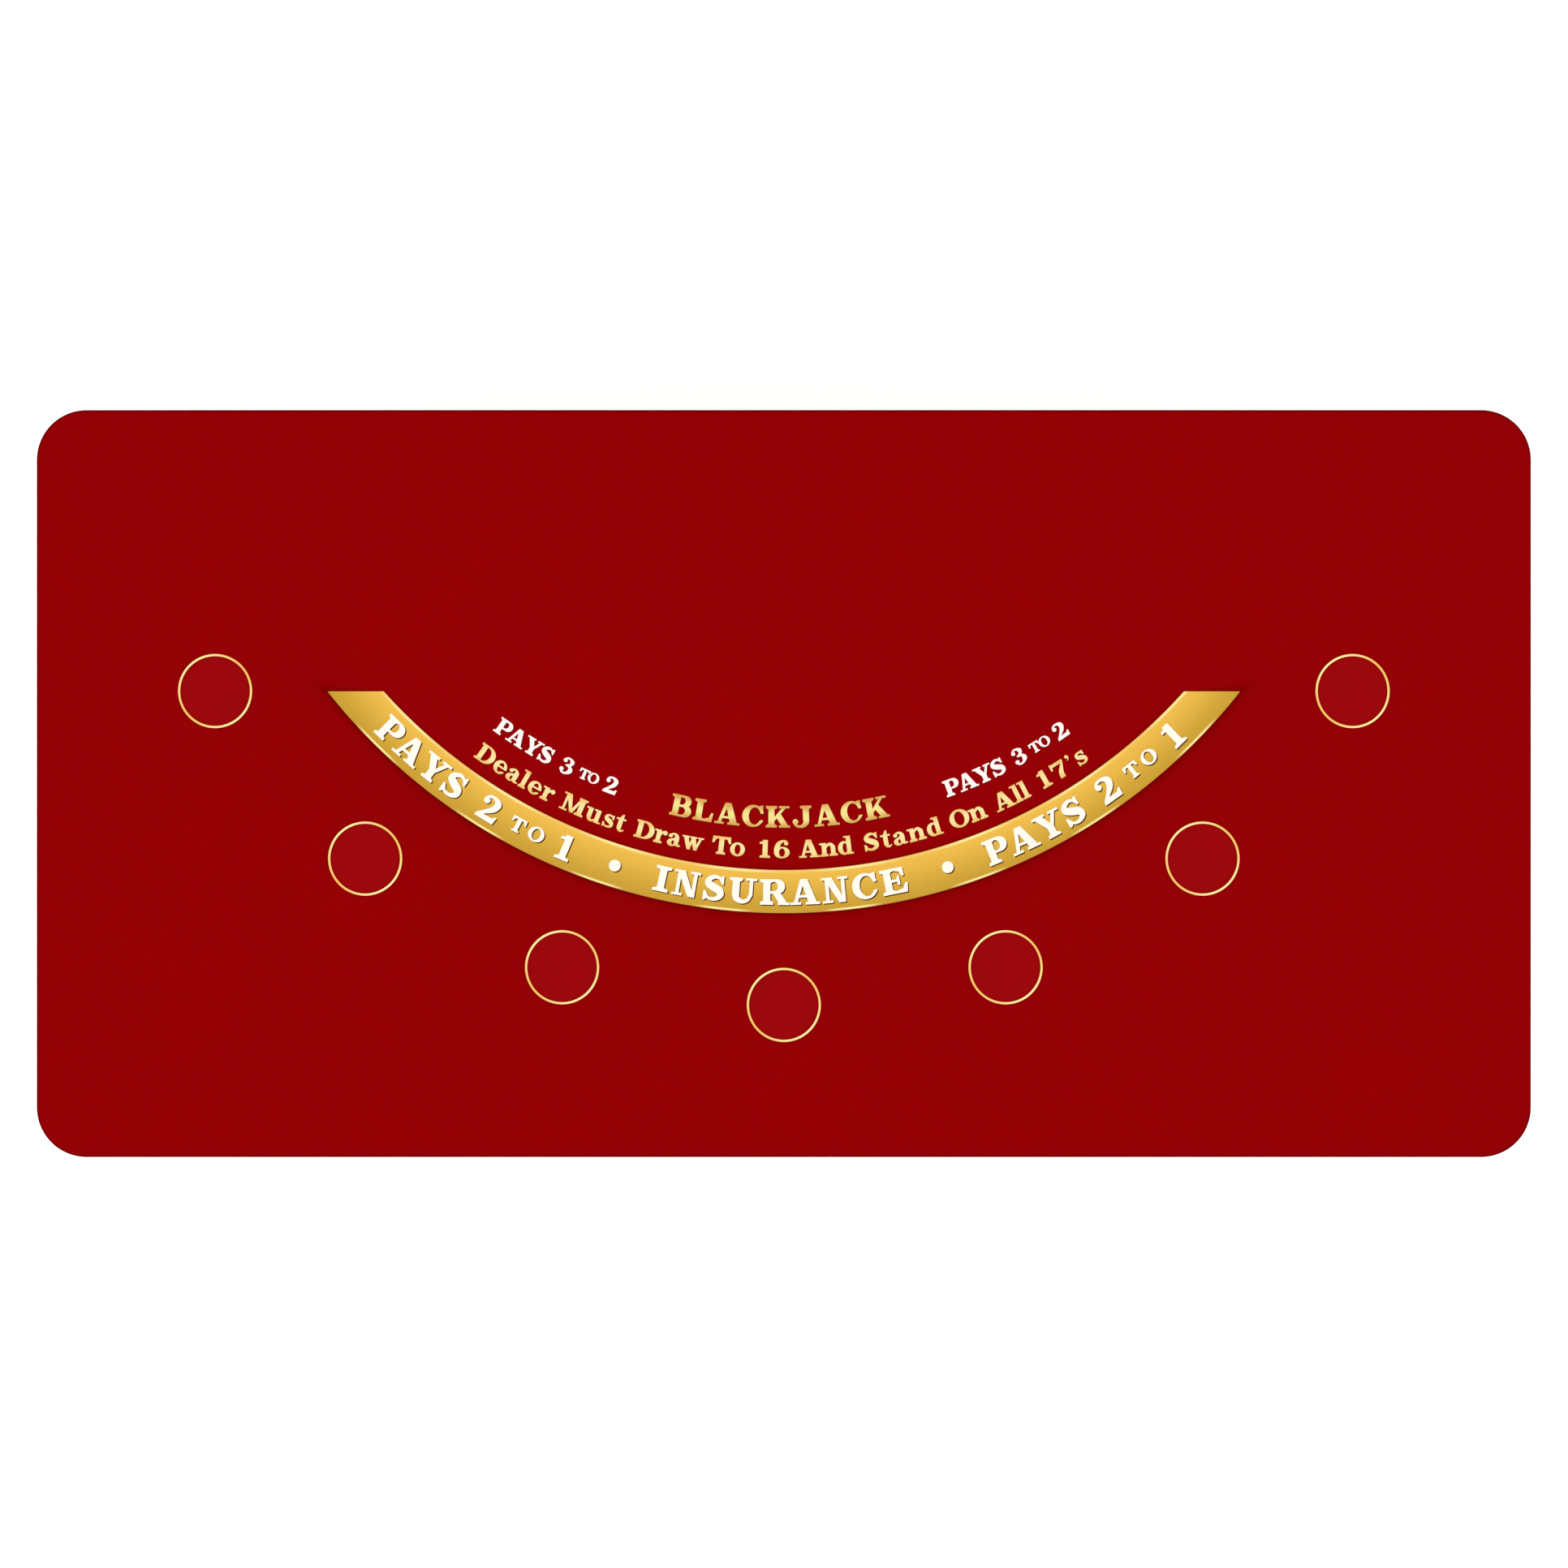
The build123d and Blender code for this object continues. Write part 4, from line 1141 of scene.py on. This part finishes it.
class GAMETABLE_OT_leg_sets(bpy.types.Operator):
    """Finish the folding legs and brackets, and build their welds and rubber caps"""

    bl_idname = "gametable.leg_sets"
    bl_label = "Folding legs"

    def execute(self, context):
        look = context.scene.gametable_hardware
        powder = powder_coat(look)
        rubber = moulded("moulded_rubber", look.rubber, 0.75, 1200, 0.1 * MM)
        for end in ENDS:
            paint(powder, *(f"{end}_{level}_stretcher" for level in ("upper", "lower")))
            build_welds(end, look, powder)
            for side in SIDES:
                paint(powder, f"{end}_{side}_bracket", f"{end}_{side}_leg")
                build_foot(end, side, rubber)
        return {"FINISHED"}


class GAMETABLE_OT_knobs(bpy.types.Operator):
    """Finish the clamp knobs and their brass inserts"""

    bl_idname = "gametable.knobs"
    bl_label = "Clamp knobs"

    def execute(self, context):
        look = context.scene.gametable_hardware
        plastic = moulded("knob_plastic", look.knob, 0.32, 1100, 0.03 * MM)
        brass = plated("turned_brass", look.brass, 0.28)
        for end in ENDS:
            for side in SIDES:
                paint(plastic, f"{end}_{side}_knob")
                paint(brass, f"{end}_{side}_knob_insert")
        return {"FINISHED"}


# The stage: the floor's radius, the key light's breadth and tilt, and where the camera stands beside the
# table's middle.
FLOOR_RADIUS = 40
KEY_BREADTH, KEY_TILT = radians(35), (radians(18), radians(-14), 0)
CAMERA_X, CAMERA_Y = 0.2 * MM, -0.5 * MM


class GAMETABLE_OT_stage(bpy.types.Operator):
    """Set up the pale floor, the soft light and the camera straight above"""

    bl_idname = "gametable.stage"
    bl_label = "Stage"

    def execute(self, context):
        scene, look = context.scene, context.scene.gametable_stage
        mesh = bmesh.new()
        bmesh.ops.create_circle(mesh, cap_ends=True, segments=64, radius=FLOOR_RADIUS)
        finish = Finish("pale_floor", look.floor, 0.8, specular_ior_level=0.1)
        finish.set("Emission Color", (1, 1, 1, 1))
        finish.set("Emission Strength", look.floor_glow)
        placed(mesh, "floor", finish.material)

        scene.world = bpy.data.worlds.new("studio")
        scene.world.use_nodes = True
        sky = scene.world.node_tree.nodes["Background"]
        sky.inputs["Color"].default_value = (1, 1, 1, 1)
        sky.inputs["Strength"].default_value = look.sky
        lamp = bpy.data.lights.new("soft_key", "SUN")
        lamp.energy, lamp.angle = look.sun, KEY_BREADTH
        key = bpy.data.objects.new("soft_key", lamp)
        key.rotation_euler = KEY_TILT
        scene.collection.objects.link(key)

        camera = bpy.data.objects.new("camera", bpy.data.cameras.new("camera"))
        camera.data.lens = look.lens
        camera.data.clip_end = 100
        distance = look.view_width * look.lens / camera.data.sensor_width
        camera.location = (CAMERA_X, CAMERA_Y, SURFACE + distance)
        scene.collection.objects.link(camera)
        scene.camera = camera
        scene.view_settings.view_transform = "Standard"
        return {"FINISHED"}


OPERATORS = (
    GAMETABLE_OT_cloth,
    GAMETABLE_OT_gold_print,
    GAMETABLE_OT_lettering,
    GAMETABLE_OT_woodwork,
    GAMETABLE_OT_fasteners,
    GAMETABLE_OT_leg_sets,
    GAMETABLE_OT_knobs,
    GAMETABLE_OT_stage,
)
SETTINGS = {
    "gametable_cloth": ClothSettings,
    "gametable_print": PrintSettings,
    "gametable_wood": WoodSettings,
    "gametable_hardware": HardwareSettings,
    "gametable_stage": StageSettings,
}


class GAMETABLE_PT_sidebar(bpy.types.Panel):
    """Lists the steps that dress the table, and their settings"""

    bl_idname = "GAMETABLE_PT_sidebar"
    bl_label = "Blackjack table"
    bl_space_type = "VIEW_3D"
    bl_region_type = "UI"
    bl_category = "Blackjack table"

    def draw(self, context):
        for step in OPERATORS:
            self.layout.operator(step.bl_idname)
        for group, settings in SETTINGS.items():
            part = self.layout.box()
            part.label(text=settings.__doc__)
            for name in settings.__annotations__:
                part.prop(getattr(context.scene, group), name)


def register():
    """Registers the settings, the steps and the panel."""
    for group, settings in SETTINGS.items():
        bpy.utils.register_class(settings)
        setattr(bpy.types.Scene, group, bpy.props.PointerProperty(type=settings))
    for step in (*OPERATORS, GAMETABLE_PT_sidebar):
        bpy.utils.register_class(step)


def unregister():
    """Takes out what register put in."""
    for step in (GAMETABLE_PT_sidebar, *reversed(OPERATORS)):
        bpy.utils.unregister_class(step)
    for group, settings in reversed(SETTINGS.items()):
        delattr(bpy.types.Scene, group)
        bpy.utils.unregister_class(settings)


def main():
    """Dresses the table."""
    register()
    for step in OPERATORS:
        section, name = step.bl_idname.split(".")
        getattr(getattr(bpy.ops, section), name)()


if __name__ == "__main__":
    main()
